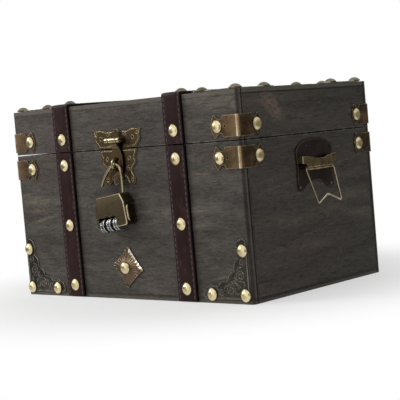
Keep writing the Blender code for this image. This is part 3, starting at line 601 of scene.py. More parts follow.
# Black edge ink, widened onto the top face as a painted shadow beside the strap.
ink_and_shadow = spread(across, STRAP_WIDTH / 2 - INK_AND_SHADOW_START, STRAP_WIDTH / 2 - INK_AND_SHADOW_FULL)
tone = mixed(ink_and_shadow, tone, (0.004, 0.003, 0.003))
wire_up(shader, tone, spread(worn, 0.3, 0.7, 0.34, 0.56), pebble * -0.7 + worn, LEATHER_RELIEF)

strap_thread, shader = material("strap_thread", specular=0.3)
spot = coordinates(shader)
wave = {"bands_direction": "DIAGONAL"}
twist = Shade(put(spot.tree, "ShaderNodeTexWave", wave, Vector=spot, Scale=900.0, Distortion=1.0), "Fac")
tone = mixed(twist, (0.075, 0.040, 0.040), (0.170, 0.105, 0.102))
wire_up(shader, tone, spread(twist, 0.0, 1.0, 0.6, 0.75), twist, THREAD_RELIEF)


def stations_along(corners):
    """Evenly spaced (y, z, outward y, outward z) stations through corner stations."""
    out = []
    for a, b in zip(corners, corners[1:]):
        count = max(1, round(hypot(b[0] - a[0], b[1] - a[1]) / STRAP_STEP))
        out += [tuple(p + (q - p) * k / count for p, q in zip(a, b)) for k in range(count)]
    return out + [corners[-1]]


def leather(name, x, stations, nail_spots, body, node):
    """Strap along its stations, drawn in at the nails, and the thread along both edges."""
    half = STRAP_WIDTH / 2
    crease = 1 - STITCH_INSET / half
    section = [
        (0, 1), (0.4, 0.99), (crease - 0.07, 0.95), (crease, 0.82), (crease + 0.06, 0.95), (0.95, 0.88),
        (0.99, 0.66), (1, 0.3), (0.985, 0),
    ]
    section = [(-share, rise) for share, rise in reversed(section[1:])] + section
    rings = []
    for y, z, out_y, out_z in stations:
        drawn = sum(exp(-((y - a) ** 2 + (z - b) ** 2) / DIMPLE_RADIUS**2) for a, b in nail_spots)
        ring = []
        for share, rise in section:
            pull = DIMPLE_DEPTH * min(drawn, 1) * (1 - share**2) if rise > 0.5 else 0
            lift = STRAP_SEAT + rise * STRAP_THICK - pull
            ring.append((x + share * half, y + out_y * lift, z + out_z * lift))
        rings.append(ring)
    bm = bmesh.new()
    skin(bm, rings)
    piece(f"{name}_leather", bm, strap_leather, body, node, sharp=50)

    lifted = STRAP_SEAT + 0.86 * STRAP_THICK
    line = [Vector((y + out_y * lifted, z + out_z * lifted)) for y, z, out_y, out_z in stations]
    ways = [Vector(station[2:]) for station in stations]
    lengths = [0.0]
    for a, b in zip(line, line[1:]):
        lengths.append(lengths[-1] + (b - a).length)

    def along(distance):
        k = max(n for n, length in enumerate(lengths[:-1]) if length <= distance + 1e-9)
        share = min((distance - lengths[k]) / max(lengths[k + 1] - lengths[k], 1e-9), 1)
        return line[k].lerp(line[k + 1], share), ways[k].lerp(ways[k + 1], share)

    bm = bmesh.new()
    for edge in (-1, 1):
        start = STITCH_PITCH * 0.4
        while start + STITCH_LENGTH < lengths[-1]:
            rings = []
            for share, swell in ((0, 0.35), (0.12, 0.85), (0.5, 1.1), (0.88, 0.85), (1, 0.35)):
                spot, way = along(start + share * STITCH_LENGTH)
                sunk = STITCH_SINK if share in (0, 1) else 0
                ring = []
                for p, q in circle(0, 0, swell, 6):
                    y, z = spot + way * (THREAD_RISE * q - sunk)
                    ring.append((x + edge * (half - STITCH_INSET) + THREAD_WIDTH * p, y, z))
                rings.append(ring)
            skin(bm, rings)
            start += STITCH_PITCH
    piece(f"{name}_thread", bm, strap_thread, body, sharp=60)


for side, x in (("left", -STRAP_X), ("right", STRAP_X)):
    nail_out = STRAP_SEAT + STRAP_THICK - NAIL_BITE
    for part, face, way in (("front", front, 1), ("back", back, -1)):
        node = f"body_{part}_strap_{side}"
        y = -way * half_depth
        low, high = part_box(node)
        upper_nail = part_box("body_front_panel")[1].z - NAIL_INSET
        levels = (NAIL_INSET, (NAIL_INSET + upper_nail) / 2, upper_nail)
        path = stations_along([(y, low.z, -way, 0), (y, high.z, -way, 0)])
        leather(f"body_{part}_{side}_strap", x, path, [(y, z) for z in levels], "chest", node)
        nails(f"body_{part}_{side}_strap_nails", [at(face, way * x, z, nail_out) for z in levels], "chest")
    node = f"lid_strap_{side}"
    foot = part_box(node)[0].z
    turns = [radians(15 * k) for k in range(7)]
    corners = [(-half_depth, foot, -1, 0)]
    corners += [(-half_depth, chest_top, -cos(turn), sin(turn)) for turn in turns]
    corners += [(half_depth, chest_top, cos(turn), sin(turn)) for turn in reversed(turns)]
    corners += [(half_depth, foot, 1, 0)]
    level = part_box("lid_front_panel")[0].z + NAIL_INSET
    inner = half_depth - NAIL_INSET
    spots = [(-half_depth, level), (half_depth, level), (-inner, chest_top), (inner, chest_top)]
    leather(f"lid_{side}_strap", x, stations_along(corners), spots, "lid", node)
    nails(f"lid_{side}_strap_nails", [at(front, x, level, nail_out), at(back, -x, level, nail_out)], "lid")
    nails(f"lid_{side}_strap_top_nails", [at(top, x, y, nail_out) for y in (-inner, inner)], "lid")

# Corner brackets
# Eight antique-brass stampings with fishtail blades at both ends, bent round the corners of the
# lid and the box, with a painted highlight along the bend. The longer leg has a small pilot hole
# with a dark disc under it as painted shade.
METAL = 0.0008
METAL_SEAT = 0.0003
METAL_BEVEL = 0.0003
BRACKET_HEIGHT = 0.017
BRACKET_LEG = 0.029
BRACKET_SIDE = 0.0255
BRACKET_NAIL = 0.76
PILOT_HOLE = 0.0009
PILOT_PLACE = 0.48
FOLD_STEPS = 10
BEND_RELIEF = 0.00005
BEND_LINE = 0.0008
LIGHTER_REACH = 0.014
LEG_EDGE = 0.0012
plate_face = METAL_SEAT + METAL


def eased(points, steps):
    """Catmull-Rom curve through points."""
    last = len(points) - 1
    out = []
    for i in range(last):
        a, b, c, d = [Vector(points[min(max(n, 0), last)]) for n in range(i - 1, i + 3)]
        for k in range(steps):
            t = k / steps
            curve = 2 * b + (c - a) * t + (2 * a - 5 * b + 4 * c - d) * t**2 + (3 * b - a - 3 * c + d) * t**3
            out.append(tuple(curve / 2))
    return out + [tuple(points[-1])]


def fold_lines(bm, places, way=(1, 0, 0)):
    """Edges across a stamping where it will be bent."""
    for place in places:
        everything = bm.verts[:] + bm.edges[:] + bm.faces[:]
        bmesh.ops.bisect_plane(bm, geom=everything, plane_co=Vector(way) * place, plane_no=way)


antique_brass = aged_metal(
    "antique_brass", (0.140, 0.100, 0.049), (0.062, 0.039, 0.021), (0.56, 0.47, 0.29), 0.9, 0.7
)
# Near-black metal for the pilot holes: painted shade.
hole_shade_black = aged_metal(
    "hole_shade_black", (0.010, 0.008, 0.006), (0.006, 0.005, 0.004), (0.02, 0.016, 0.012), 0.8, 0.1, polish=0.6
)
bend_brass, shader = material("bend_brass", metallic=1.0)
spot = coordinates(shader)
x, y, z = parts_of(spot)
to_end = half_width - abs(x)
long_leg = spread(half_depth - abs(y), LEG_EDGE, LEG_EDGE / 3)
# The long leg is lighter towards the bend.
lighter_near_bend = spread(to_end, LIGHTER_REACH, CORNER_ROUND, 0.0, 0.5) * long_leg
# crown: a painted highlight line along the bend.
crown = spread(abs(to_end - ARRIS), BEND_LINE, BEND_LINE / 8) * long_leg
crown *= spread(clouds(spot, 210.0, 2.0), 0.35, 0.65, 0.25, 0.85)
rust = clouds(stretched(spot, (1, 1, 1.6), shift=(0.1, 0, 0.02)), 60.0, 3.0)
rust -= spread(abs(z - (seam + BRACKET_HEIGHT / 2)), 0.0, BRACKET_HEIGHT, -0.06, 0.12)
metal = mixed(spread(rust, 0.36, 0.56), (0.160, 0.119, 0.062), (0.330, 0.200, 0.115))
tone, roughness, height = aged_finish(
    spot, metal, (0.095, 0.056, 0.031), (0.80, 0.68, 0.45), 1.0, 1.0, reach=0.0014, polish=0.22
)
tone = mixed(lighter_near_bend, tone, (0.40, 0.270, 0.150))
wire_up(shader, mixed(crown, tone, (0.92, 0.82, 0.62)), roughness, height, BEND_RELIEF)


def bracket(name, sign_x, sign_y, level, body):
    half = BRACKET_HEIGHT / 2
    bend = radians(90) * (CORNER_ROUND + plate_face)
    blade = eased([
        (0.54, 1), (0.585, 0.74), (0.65, 0.63), (0.73, 0.74), (0.84, 1.05), (0.91, 0.74), (0.965, 0.33),
        (0.99, 0),
    ], 4)
    blade += [(s, -v) for s, v in reversed(blade[:-1])]
    outline = [(BRACKET_SIDE * s - CORNER_ROUND + bend, -half * v) for s, v in blade]
    outline += [(CORNER_ROUND - BRACKET_LEG * s, half * v) for s, v in blade]
    bm = stamped(outline, METAL, [circle(CORNER_ROUND - BRACKET_LEG * PILOT_PLACE, 0, PILOT_HOLE, 12)])
    fold_lines(bm, [bend * k / FOLD_STEPS for k in range(FOLD_STEPS + 1)])
    for vert in bm.verts:
        s, v, w = vert.co
        turn = radians(90) * min(max(s / bend, 0), 1)
        reach = CORNER_ROUND + METAL_SEAT + w
        x = half_width - CORNER_ROUND + reach * sin(turn) + min(s, 0)
        y = half_depth - CORNER_ROUND + reach * cos(turn) - max(s - bend, 0)
        vert.co = (sign_x * x, sign_y * y, level + v)
    face = front if sign_y < 0 else back
    across = sign_x if sign_y < 0 else -sign_x
    pit = at(face, across * (half_width - BRACKET_LEG * PILOT_PLACE), level)
    # A dark disc under the pilot hole: painted shade in the hole.
    spun(bm, [(PILOT_HOLE * 1.2, 0.0), (PILOT_HOLE * 1.2, METAL_SEAT * 1.4)], 12, pit)
    plate = piece(f"{name}_plate", bm, bend_brass, body, name, bevel=METAL_BEVEL)
    second_finish(plate, hole_shade_black, lambda part: (part.center - pit.translation).length < PILOT_HOLE)
    heads = [at(face, across * (half_width - BRACKET_LEG * BRACKET_NAIL), level, plate_face)]
    face = right if sign_x > 0 else left
    across = sign_y if sign_x > 0 else -sign_y
    heads += [at(face, across * (half_depth - BRACKET_SIDE * BRACKET_NAIL), level, plate_face)]
    nails(f"{name}_nails", heads, body)


for name in sorted(nodes):
    if "_bracket_" in name and not name.startswith("handle"):
        low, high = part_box(name)
        sign_x = 1 if low.x > 0 else -1
        sign_y = 1 if low.y > 0 else -1
        bracket(name, sign_x, sign_y, (low.z + high.z) / 2, "lid" if name.startswith("lid") else "chest")

# Corner plates
# Dark bronze right-angled stampings with a scalloped hollow side, a raised rim and an embossed
# scroll pattern: two at the foot of the front and four on the lid, three nails in each.
PLATE_LEG = 0.048
PLATE_INSET = 0.0035
PLATE_NAIL_PITCH = 0.0345
PLATE_SHEET = METAL * 0.55
SHEET_BEVEL = 0.00012
RIM_INSET = 0.0007
RIM_SHARE = 0.965
RIM_RISE = METAL * 0.45
SCROLL_RISE = METAL * 0.38
LOBES = 5
LOBE_RISE = 0.035
LOBE_STEPS = 8
RIM_WIDTH = 0.0005
SCROLL_WIDTH = 0.00042


def bead(bm, path, wide, base, rise, closed=False):
    """Half-round ridge along (u, v) points, standing on w = base."""
    points = [Vector(point) for point in path]
    count = len(points)
    rings = []
    for k, point in enumerate(points):
        before = points[k - 1] if closed or k else point
        after = points[(k + 1) % count] if closed or k < count - 1 else point
        across = (after - before).normalized().orthogonal()
        swell = 1.0 if closed else min(1.0, 0.35 + 6 * min(k, count - 1 - k) / count)
        ring = []
        for share, lift in ((-1, -0.15), (-0.72, 0.68), (0, 1), (0.72, 0.68), (1, -0.15)):
            ring.append((*(point + across * (share * wide * swell)), base + rise * lift * swell))
        rings.append(ring)
    skin(bm, rings, along=closed)


def volute(u, v, outer, inner, start, turns, steps=26):
    """Spiral that winds in to its centre."""
    out = []
    for k in range(steps + 1):
        t = k / steps
        turn = radians(start) + 2 * pi * turns * t
        radius = outer + (inner - outer) * t**0.85
        out.append((u + radius * cos(turn), v + radius * sin(turn)))
    return out


def bright_edges(obj, look):
    """Painted highlight on the cut edges that face right."""
    second_finish(obj, look, lambda face: face.normal.x > 0.3 and abs(face.normal.y) < 0.9)


dark_bronze = aged_metal(
    "dark_bronze", (0.066, 0.060, 0.050), (0.030, 0.027, 0.022), (0.34, 0.31, 0.25), 0.8, 0.9, COARSE_RELIEF
)
edge_bronze = aged_metal("edge_bronze", (0.56, 0.53, 0.46), (0.24, 0.21, 0.17), (0.80, 0.76, 0.66), 0.5, 0.5)
scrolls = [
    volute(0.0186, 0.0076, 0.0050, 0.0008, 150, -1.7), volute(0.0288, 0.0056, 0.0034, 0.0006, 200, 1.5),
    volute(0.0395, 0.0098, 0.0021, 0.0005, 210, -1.2, 14),
    eased([(0.0092, 0.0056), (0.0112, 0.0042), (0.0138, 0.0049), (0.0142, 0.0098)], 5),
    eased([(0.0226, 0.0112), (0.0248, 0.0092), (0.0252, 0.0062)], 5),
    eased([(0.0320, 0.0070), (0.0334, 0.0104), (0.0372, 0.0094)], 5),
    eased([(0.0082, 0.0100), (0.0108, 0.0112), (0.0150, 0.0150)], 5),
    eased([(0.0128, 0.0134), (0.0152, 0.0124), (0.0176, 0.0142)], 5),
]


def corner_plate(name, face, corner_u, corner_v, sign_u, sign_v, body):
    hollow = []
    for k in range(LOBES * LOBE_STEPS + 1):
        t = k / (LOBES * LOBE_STEPS)
        p = 0.96 * (1 - t) ** 2 + 0.34 * t * (1 - t) + 0.16 * t**2
        q = 0.16 * (1 - t) ** 2 + 0.34 * t * (1 - t) + 0.96 * t**2
        bump = LOBE_RISE * abs(sin(LOBES * pi * t))
        hollow.append((p + bump, q + bump))
    shape = [(0.02, 0), (0.5, 0), (0.94, 0), (0.985, 0.02), (1, 0.06)] + hollow
    shape += [(0.06, 1), (0.02, 0.985), (0, 0.94), (0, 0.5), (0, 0.02)]
    outline = [(p * PLATE_LEG, q * PLATE_LEG) for p, q in shape]
    bm = stamped(outline, PLATE_SHEET)
    rim = [(u * RIM_SHARE + RIM_INSET, v * RIM_SHARE + RIM_INSET) for u, v in outline]
    bead(bm, rim, RIM_WIDTH, PLATE_SHEET, RIM_RISE, closed=True)
    for path in scrolls:
        bead(bm, path, SCROLL_WIDTH, PLATE_SHEET, SCROLL_RISE)
        bead(bm, [(v, u) for u, v in path], SCROLL_WIDTH, PLATE_SHEET, SCROLL_RISE)
    for vert in bm.verts:
        u, v, w = vert.co
        vert.co = (corner_u + sign_u * u, corner_v + sign_v * v, METAL_SEAT + w)
    bm.transform(face)
    sheet = piece(f"{name}_sheet", bm, dark_bronze, body, name, bevel=SHEET_BEVEL)
    # Painted highlight on the right-facing edges.
    bright_edges(sheet, edge_bronze)
    first = PLATE_INSET
    last = first + PLATE_NAIL_PITCH
    spots = ((first, first), (last, first), (first, last))
    heads = [at(face, corner_u + sign_u * u, corner_v + sign_v * v, plate_face) for u, v in spots]
    nails(f"{name}_nails", heads, body)


plate_u = half_width - PLATE_INSET
plate_v = half_depth - PLATE_INSET
for side, sign in (("left", 1), ("right", -1)):
    corner_plate(f"body_corner_plate_{side}", front, -sign * plate_u, PLATE_INSET, sign, 1, "chest")
    corner_plate(f"lid_corner_plate_front_{side}", top, -sign * plate_u, -plate_v, sign, 1, "lid")
    corner_plate(f"lid_corner_plate_back_{side}", top, -sign * plate_u, plate_v, sign, -1, "lid")

# Rosette
# Copper-bronze pressing low on the front: a fluted pyramid on a four-pointed outline with a
# crimped border, held by one taller dome nail on its crown.
ROSETTE_RADIUS = 0.0172
ROSETTE_Z = 0.027
ROSETTE_RISE = 0.004
ROSETTE_TURN = radians(7)
ROSETTE_SHEET = METAL * 0.8
ROSETTE_LEVELS = 7
FLUTES = 7
FLUTE_STEPS = 6

copper_bronze = aged_metal(
    "copper_bronze", (0.150, 0.105, 0.066), (0.060, 0.038, 0.023), (0.80, 0.66, 0.48), 0.9, 0.8, reach=0.0008
)
highlit_copper = aged_metal("highlit_copper", (0.94, 0.85, 0.74), (0.50, 0.38, 0.28), (0.98, 0.92, 0.84), 0.4, 0.5)
rings = []
for level in range(-1, ROSETTE_LEVELS + 1):
    share = max(level, 0) / ROSETTE_LEVELS
    crimp = METAL * 0.35 * exp(-((share - 0.06) / 0.06) ** 2)
    slope = ROSETTE_SHEET + (ROSETTE_RISE - ROSETTE_SHEET) * (0.25 * share + 0.75 * share**1.6)
    ring = []
    for quarter in range(4):
        turn = Matrix.Rotation(quarter * pi / 2 - ROSETTE_TURN, 2)
        for k in range(FLUTES * FLUTE_STEPS):
            t = k / (FLUTES * FLUTE_STEPS)
            ridge = sin(FLUTES * pi * t) ** 2
            reach = ROSETTE_RADIUS * (0.95 + 0.05 * abs(2 * t - 1)) * (1 + 0.04 * ridge)
            rim = turn @ Vector((1 - t, t)) * reach
            hub = turn @ Vector((cos(t * pi / 2), sin(t * pi / 2))) * NAIL_RADIUS * 0.8
            lift = slope + METAL * 0.75 * ridge * (1 - share) + crimp
            ring.append((*rim.lerp(hub, share), 0 if level < 0 else lift))
    rings.append(ring)
bm = bmesh.new()
skin(bm, rings)
bm.transform(at(front, 0, ROSETTE_Z, METAL_SEAT))
rosette = piece("rosette_pressing", bm, copper_bronze, "chest", "rosette_plate", sharp=50)


def upper_right_border(face):
    u, v = Matrix.Rotation(ROSETTE_TURN, 2) @ Vector((face.center.x, face.center.z - ROSETTE_Z))
    return min(u, v) > 0 and u + v > ROSETTE_RADIUS * 0.85


# Painted highlight on the upper right border.
second_finish(rosette, highlit_copper, upper_right_border)
profile = [
    (0.99, 0), (1, 0.08), (0.975, 0.2), (0.87, 0.46), (0.72, 0.7), (0.55, 0.88), (0.37, 1.0), (0.18, 1.07),
    (0.04, 1.1),
]
profile = [(NAIL_RADIUS * r, NAIL_RISE * w) for r, w in profile]
bm = bmesh.new()
spun(bm, profile, NAIL_STEPS, at(front, 0, ROSETTE_Z, METAL_SEAT * 2 + ROSETTE_RISE))
piece("rosette_nail_head", bm, pale_brass, "chest", "rosette_nail")

# Hasp on the lid and its plate on the box
# Antique-brass stampings with pierced, curling outlines and a raised border. The upper plate
# carries a rolled barrel and the tongue; the lower plate carries the staple. Small dark screws.
HASP_WIDTH = 0.058
HASP_RISE = 0.0178
HASP_DROP = 0.0305
BARREL_RISE = 0.0073
BARREL_RADIUS = 0.0023
BARREL_LIFT = 0.0026
BARREL_LENGTH = 0.017
PIN_BORE = 0.0012
PIN_RADIUS = 0.0009
TONGUE_WIDTH = 0.0136
STAPLE_WIRE = 0.001
STAPLE_PITCH = 0.007
SCREW_HOLE = 0.0011
SCREW_TURN = 0.6
SCREW_RING = 0.0005
SCREW_BEVEL = 0.0001
SHADOW_REACH = 0.0045
SHADOW_FULL = 0.0022
BORDER_WIDTH = 0.0004
CURL_WIDTH = 0.00035
BEAD_RISE = 0.0003
SHACKLE_WIRE = 0.0013
CREST_DROP = 0.0127
LOCK_BACK = 0.0045

along_u = Matrix.Rotation(pi / 2, 4, "Y")
hasp_axis = plate_face + BARREL_RADIUS - METAL / 2 + BARREL_LIFT
hasp_z = seam + BARREL_RISE
knuckle = BARREL_LENGTH * 0.26
half_hasp = HASP_WIDTH / 2
half_tongue = TONGUE_WIDTH / 2


def mirrored(half):
    """Whole outline from its right half, listed top to bottom with both ends on the middle line."""
    return half + [(-u, v) for u, v in reversed(half) if u > 1e-9]


def both_sides(u, v):
    return [(-u, v), (u, v)]


def drawn_in(outline, share_u, middle, share_v):
    """Outline made smaller about the point (0, middle)."""
    return [(u * share_u, middle + (v - middle) * share_v) for u, v in outline]


def join(bm, other, place):
    """Adds a second mesh to the first."""
    mesh = mesh_of("part", other)
    mesh.transform(place)
    bm.from_mesh(mesh)
    bpy.data.meshes.remove(mesh)


def block(low, high):
    bm = bmesh.new()
    bmesh.ops.create_cube(bm, size=1)
    for vert in bm.verts:
        vert.co = [a if c < 0 else b for c, a, b in zip(vert.co, low, high)]
    return bm


def sleeve(bm, outer, bore, start, end, place):
    """Rolled barrel with eased ends."""
    soft = (outer - bore) * 0.25
    profile = [(outer - soft, start), (outer, start + soft), (outer, end - soft), (outer - soft, end)]
    spun(bm, profile + [(bore, end), (bore, start)], 24, place, closed=True)


def tube(bm, path, radius, sides=14):
    """Round wire through points, with rounded ends."""
    points = [Vector(point) for point in path]
    last = len(points) - 1
    ways = [(points[min(k + 1, last)] - points[max(k - 1, 0)]).normalized() for k in range(last + 1)]
    across = ways[0].orthogonal().normalized()
    rings = []
    for k, (point, way) in enumerate(zip(points, ways)):
        across = (across - way * across.dot(way)).normalized()
        other = way.cross(across)
        steps = [(1, 0)]
        if k == 0:
            steps = [(0.55, -0.3), (0.9, -0.12), (1, 0.1)]
        elif k == last:
            steps = [(1, -0.1), (0.9, 0.12), (0.55, 0.3)]
        for swell, shift in steps:
            centre = point + way * radius * shift
            rings.append([centre + across * u + other * v for u, v in circle(0, 0, radius * swell, sides)])
    skin(bm, rings)


def wire(name, path, radius, look, body, node):
    bm = bmesh.new()
    tube(bm, path, radius)
    piece(name, bm, look, body, node)


def pin(name, axis, half, look, body, node):
    """Straight pin on an axis."""
    wire(name, [axis @ Vector((0, 0, end * half)) for end in (-1, 0, 1)], PIN_RADIUS, look, body, node)


def bends(corners, radius, steps):
    """Polyline with each inner corner replaced by an arc-like bend."""
    points = [Vector(corner) for corner in corners]
    out = [points[0]]
    for before, here, after in zip(points, points[1:], points[2:]):
        start = here + (before - here).normalized() * radius
        end = here + (after - here).normalized() * radius
        for k in range(steps + 1):
            t = k / steps
            out.append(start * (1 - t) ** 2 + here * 2 * t * (1 - t) + end * t**2)
    return out + [points[-1]]


def screw_holes(spots):
    return [circle(u, v, SCREW_HOLE) for u, v in spots]


def screws(name, face, spots, lift, look, body):
    """Slotted screw heads, each two half discs with the slot between them."""
    bm = bmesh.new()
    radius = SCREW_HOLE * 0.96
    gap = radius * 0.16
    half = [(radius * cos(pi * k / 12), max(radius * sin(pi * k / 12), gap)) for k in range(13)]
    for u, v in spots:
        for turn in (SCREW_TURN, SCREW_TURN + pi):
            join(bm, stamped(half, METAL * 0.55), at(face, u, v, lift) @ Matrix.Rotation(turn, 4, "Z"))
    piece(name, bm, look, body, bevel=SCREW_BEVEL)


edge_brass = aged_metal("edge_brass", (0.86, 0.76, 0.52), (0.40, 0.30, 0.16), (0.95, 0.90, 0.74), 0.5, 0.5)
dark_steel = aged_metal(
    "dark_steel", (0.045, 0.040, 0.035), (0.018, 0.014, 0.012), (0.24, 0.21, 0.17), 0.7, 0.9
)
wire_brass = aged_metal(
    "wire_brass", (0.52, 0.45, 0.28), (0.20, 0.14, 0.07), (0.94, 0.88, 0.70), 0.7, 0.6, polish=0.16
)
hasp_brass, shader = material("hasp_brass", metallic=1.0)
spot = coordinates(shader)
tone, roughness, height = aged_finish(
    spot, (0.140, 0.100, 0.049), (0.062, 0.039, 0.021), (0.60, 0.50, 0.31), 0.9, 0.8
)
x, y, z = parts_of(spot)
# Painted shadow on the plate to the right of the tongue and the barrel's end.
right_side = spread(x, half_tongue * 0.3, half_tongue * 0.55)
beside = spread(x, half_tongue * 1.25, half_tongue * 0.9)
beside *= spread(z, seam - HASP_DROP * 0.8, seam - HASP_DROP * 0.5)
barrel_end = spread(x, half_tongue * 1.75, half_tongue * 1.35)
barrel_end *= spread(abs(z - hasp_z), SHADOW_REACH, SHADOW_FULL)
tongue_shadow = most(beside, barrel_end) * right_side * 0.88
wire_up(shader, mixed(tongue_shadow, tone, (0.012, 0.009, 0.006)), roughness, height, METAL_RELIEF)


def hasp_plate(part, outline, border, spots, holes, curls, body):
    """Stamping with a raised border, a ring round each screw and curls on both sides."""
    bm = stamped(outline, METAL, screw_holes(spots) + holes)
    bead(bm, border, BORDER_WIDTH, METAL, BEAD_RISE, closed=True)
    for u, v in spots:
        bead(bm, circle(u, v, SCREW_HOLE + SCREW_RING), CURL_WIDTH, METAL, BEAD_RISE, closed=True)
    for curl in curls:
        for sign in (-1, 1):
            bead(bm, [(sign * u, v) for u, v in curl], CURL_WIDTH, METAL, BEAD_RISE)
    bm.transform(at(front, 0, 0, METAL_SEAT))
    name = f"hasp_{part}_stamping"
    plate = piece(name, bm, hasp_brass, body, f"hasp_{part}_plate", bevel=METAL_BEVEL)
    # Painted highlight on the right-facing edges.
    bright_edges(plate, edge_brass)


upper = [
    (0, 1), (0.06, 0.94), (0.13, 0.85), (0.31, 0.82), (0.49, 0.83), (0.65, 0.92), (0.86, 0.93), (0.99, 0.87),
    (0.95, 0.74), (0.92, 0.62), (0.94, 0.4), (0.83, 0.2), (0.79, 0.07),
]
half = eased([(half_hasp * u, seam + HASP_RISE * v) for u, v in upper], 4)
outline = mirrored(half + [(half_hasp * u, seam + HASP_RISE * 0.045) for u in (0.76, 0)])
middle = seam + HASP_RISE * 0.5
curls = [
    volute(0.0098, hasp_z + 0.0046, 0.0026, 0.0005, 200, -1.3, 18),
    volute(0.0244, hasp_z + 0.0049, 0.0021, 0.0005, -60, 1.3, 18),
]
border = drawn_in(outline, 0.925, middle, 0.84)
spots = both_sides(half_hasp * 0.65, middle)
hasp_plate("upper", outline, border, spots, [], curls, "lid")
barrel = at(front, 0, hasp_z, hasp_axis) @ along_u
bm = bmesh.new()
foot = BARREL_RADIUS * 0.7
gap = METAL_SEAT * 2.5
for low, high in ((-BARREL_LENGTH / 2, -knuckle - gap), (knuckle + gap, BARREL_LENGTH / 2)):
    sleeve(bm, BARREL_RADIUS, PIN_BORE, low, high, barrel)
    rest = block((low, hasp_z - foot, plate_face), (high, hasp_z + foot, hasp_axis - PIN_BORE - METAL_SEAT))
    join(bm, rest, front)
piece("hasp_upper_knuckles", bm, wire_brass, "lid")
screws("hasp_upper_screws", front, spots, METAL_SEAT, dark_steel, "lid")
pin("hasp_hinge_pin", barrel, BARREL_LENGTH / 2 - METAL_SEAT, wire_brass, "lid", "hasp_pin")

lock_out = plate_face + METAL_SEAT + LOCK_BACK
crest_z = seam - CREST_DROP
staple_low = crest_z - SHACKLE_WIRE - METAL_SEAT * 2.5 - STAPLE_WIRE
staple_high = staple_low + STAPLE_PITCH
staple_out = lock_out + SHACKLE_WIRE + METAL_SEAT + STAPLE_WIRE
lower = [
    (0.78, -0.04), (0.72, -0.14), (0.68, -0.25), (0.71, -0.37), (0.54, -0.53), (0.55, -0.69), (0.62, -0.81),
    (0.59, -0.93), (0.5, -1), (0.4, -0.95), (0.35, -0.84), (0.22, -0.76), (0.1, -0.84), (0, -0.9),
]
half = eased([(half_hasp * u, seam + HASP_DROP * v) for u, v in lower], 4)
outline = mirrored([(half_hasp * u, seam - HASP_DROP * 0.02) for u in (0, 0.77)] + half)
border = drawn_in(outline, 0.9, seam - HASP_DROP * 0.42, 0.9)
curls = [
    volute(0.0112, seam - 0.0168, 0.0027, 0.0005, 60, 1.3, 18),
    volute(0.0138, seam - 0.0258, 0.0021, 0.0005, 120, -1.3, 18),
]
holes = [circle(0, z, STAPLE_WIRE + METAL_SEAT) for z in (staple_low, staple_high)]
spots = both_sides(half_hasp * 0.45, seam - HASP_DROP * 0.27)
hasp_plate("lower", outline, border, spots, holes, curls, "chest")
screws("hasp_lower_screws", front, spots, METAL_SEAT, dark_steel, "chest")
loop = [
    (0, staple_low, METAL_SEAT), (0, staple_low, staple_out), (0, staple_high, staple_out),
    (0, staple_high, METAL_SEAT),
]
path = [front @ point for point in bends(loop, STAPLE_PITCH * 0.42, 8)]
wire("hasp_staple_wire", path, STAPLE_WIRE, wire_brass, "chest", "hasp_staple")

# Hasp tongue
# Brass strip that swings on the barrel, with a slot for the staple and a leaf-shaped tip turned
# outwards for the finger.
TONGUE_LENGTH = 0.037
TONGUE_THICK = 0.001
SLOT_SHOULDER = 0.002
slot_top = hasp_z - staple_high - STAPLE_WIRE * 2
slot_end = hasp_z - staple_low + STAPLE_WIRE * 3.2
slot_half = STAPLE_WIRE * 2.8
tip = TONGUE_LENGTH - slot_end
leaf_top = slot_end + tip * 0.22
neck = knuckle - METAL_SEAT
blade = [
    (neck, BARREL_RISE * 0.9), (half_tongue * 0.97, slot_top * 0.94), (half_tongue, slot_top + SLOT_SHOULDER),
    (half_tongue * 0.98, (slot_top + slot_end) / 2), (half_tongue * 0.8, slot_end),
    (half_tongue * 0.52, leaf_top), (half_tongue * 0.7, leaf_top * 0.6 + TONGUE_LENGTH * 0.4),
    (half_tongue * 0.52, leaf_top * 0.3 + TONGUE_LENGTH * 0.7), (0, TONGUE_LENGTH),
]
half = [(neck, (BARREL_RADIUS + PIN_BORE) / 2), (neck, BARREL_RISE * 0.8)] + eased(blade, 4)
slot = [(0.7, 0), (1, 0.08), (1, 0.92), (0.7, 1), (-0.7, 1), (-1, 0.92), (-1, 0.08), (-0.7, 0)]
slot = [(slot_half * u, -(slot_top + (slot_end - slot_top) * v)) for u, v in slot]
bm = stamped(mirrored([(u, -r) for u, r in half]), TONGUE_THICK, [slot])
drop = hasp_axis - TONGUE_THICK / 2 - plate_face - METAL_SEAT * 3
joggle = drop * 1.7
lines = [BARREL_RADIUS + joggle * k / FOLD_STEPS for k in range(FOLD_STEPS + 1)]
lines += [slot_end + tip * share for share in (0.0, 0.2, 0.4, 0.6, 0.8)]
fold_lines(bm, [-line for line in lines], (0, 1, 0))
for vert in bm.verts:
    reach = min(max(-vert.co.y - BARREL_RADIUS, 0) / joggle, 1)
    lift = max(-vert.co.y - slot_end, 0) / tip
    vert.co.z += lift**2 * BARREL_RADIUS * 1.5 - drop * reach**2 * (3 - 2 * reach)
bm.transform(at(front, 0, hasp_z, hasp_axis - TONGUE_THICK / 2))
tongue_brass = aged_metal(
    "tongue_brass", (0.165, 0.115, 0.056), (0.075, 0.045, 0.024), (0.80, 0.68, 0.45), 0.9, 0.8, reach=0.0003
)
leaf_brass = aged_metal(
    "leaf_brass", (0.060, 0.039, 0.020), (0.035, 0.022, 0.012), (0.70, 0.58, 0.38), 0.9, 0.9,
    reach=0.0005, polish=0.55,
)
strip = piece(
    "hasp_tongue_strip", bm, tongue_brass, "hasp_tongue", "hasp_tongue", bevel=METAL_BEVEL
)
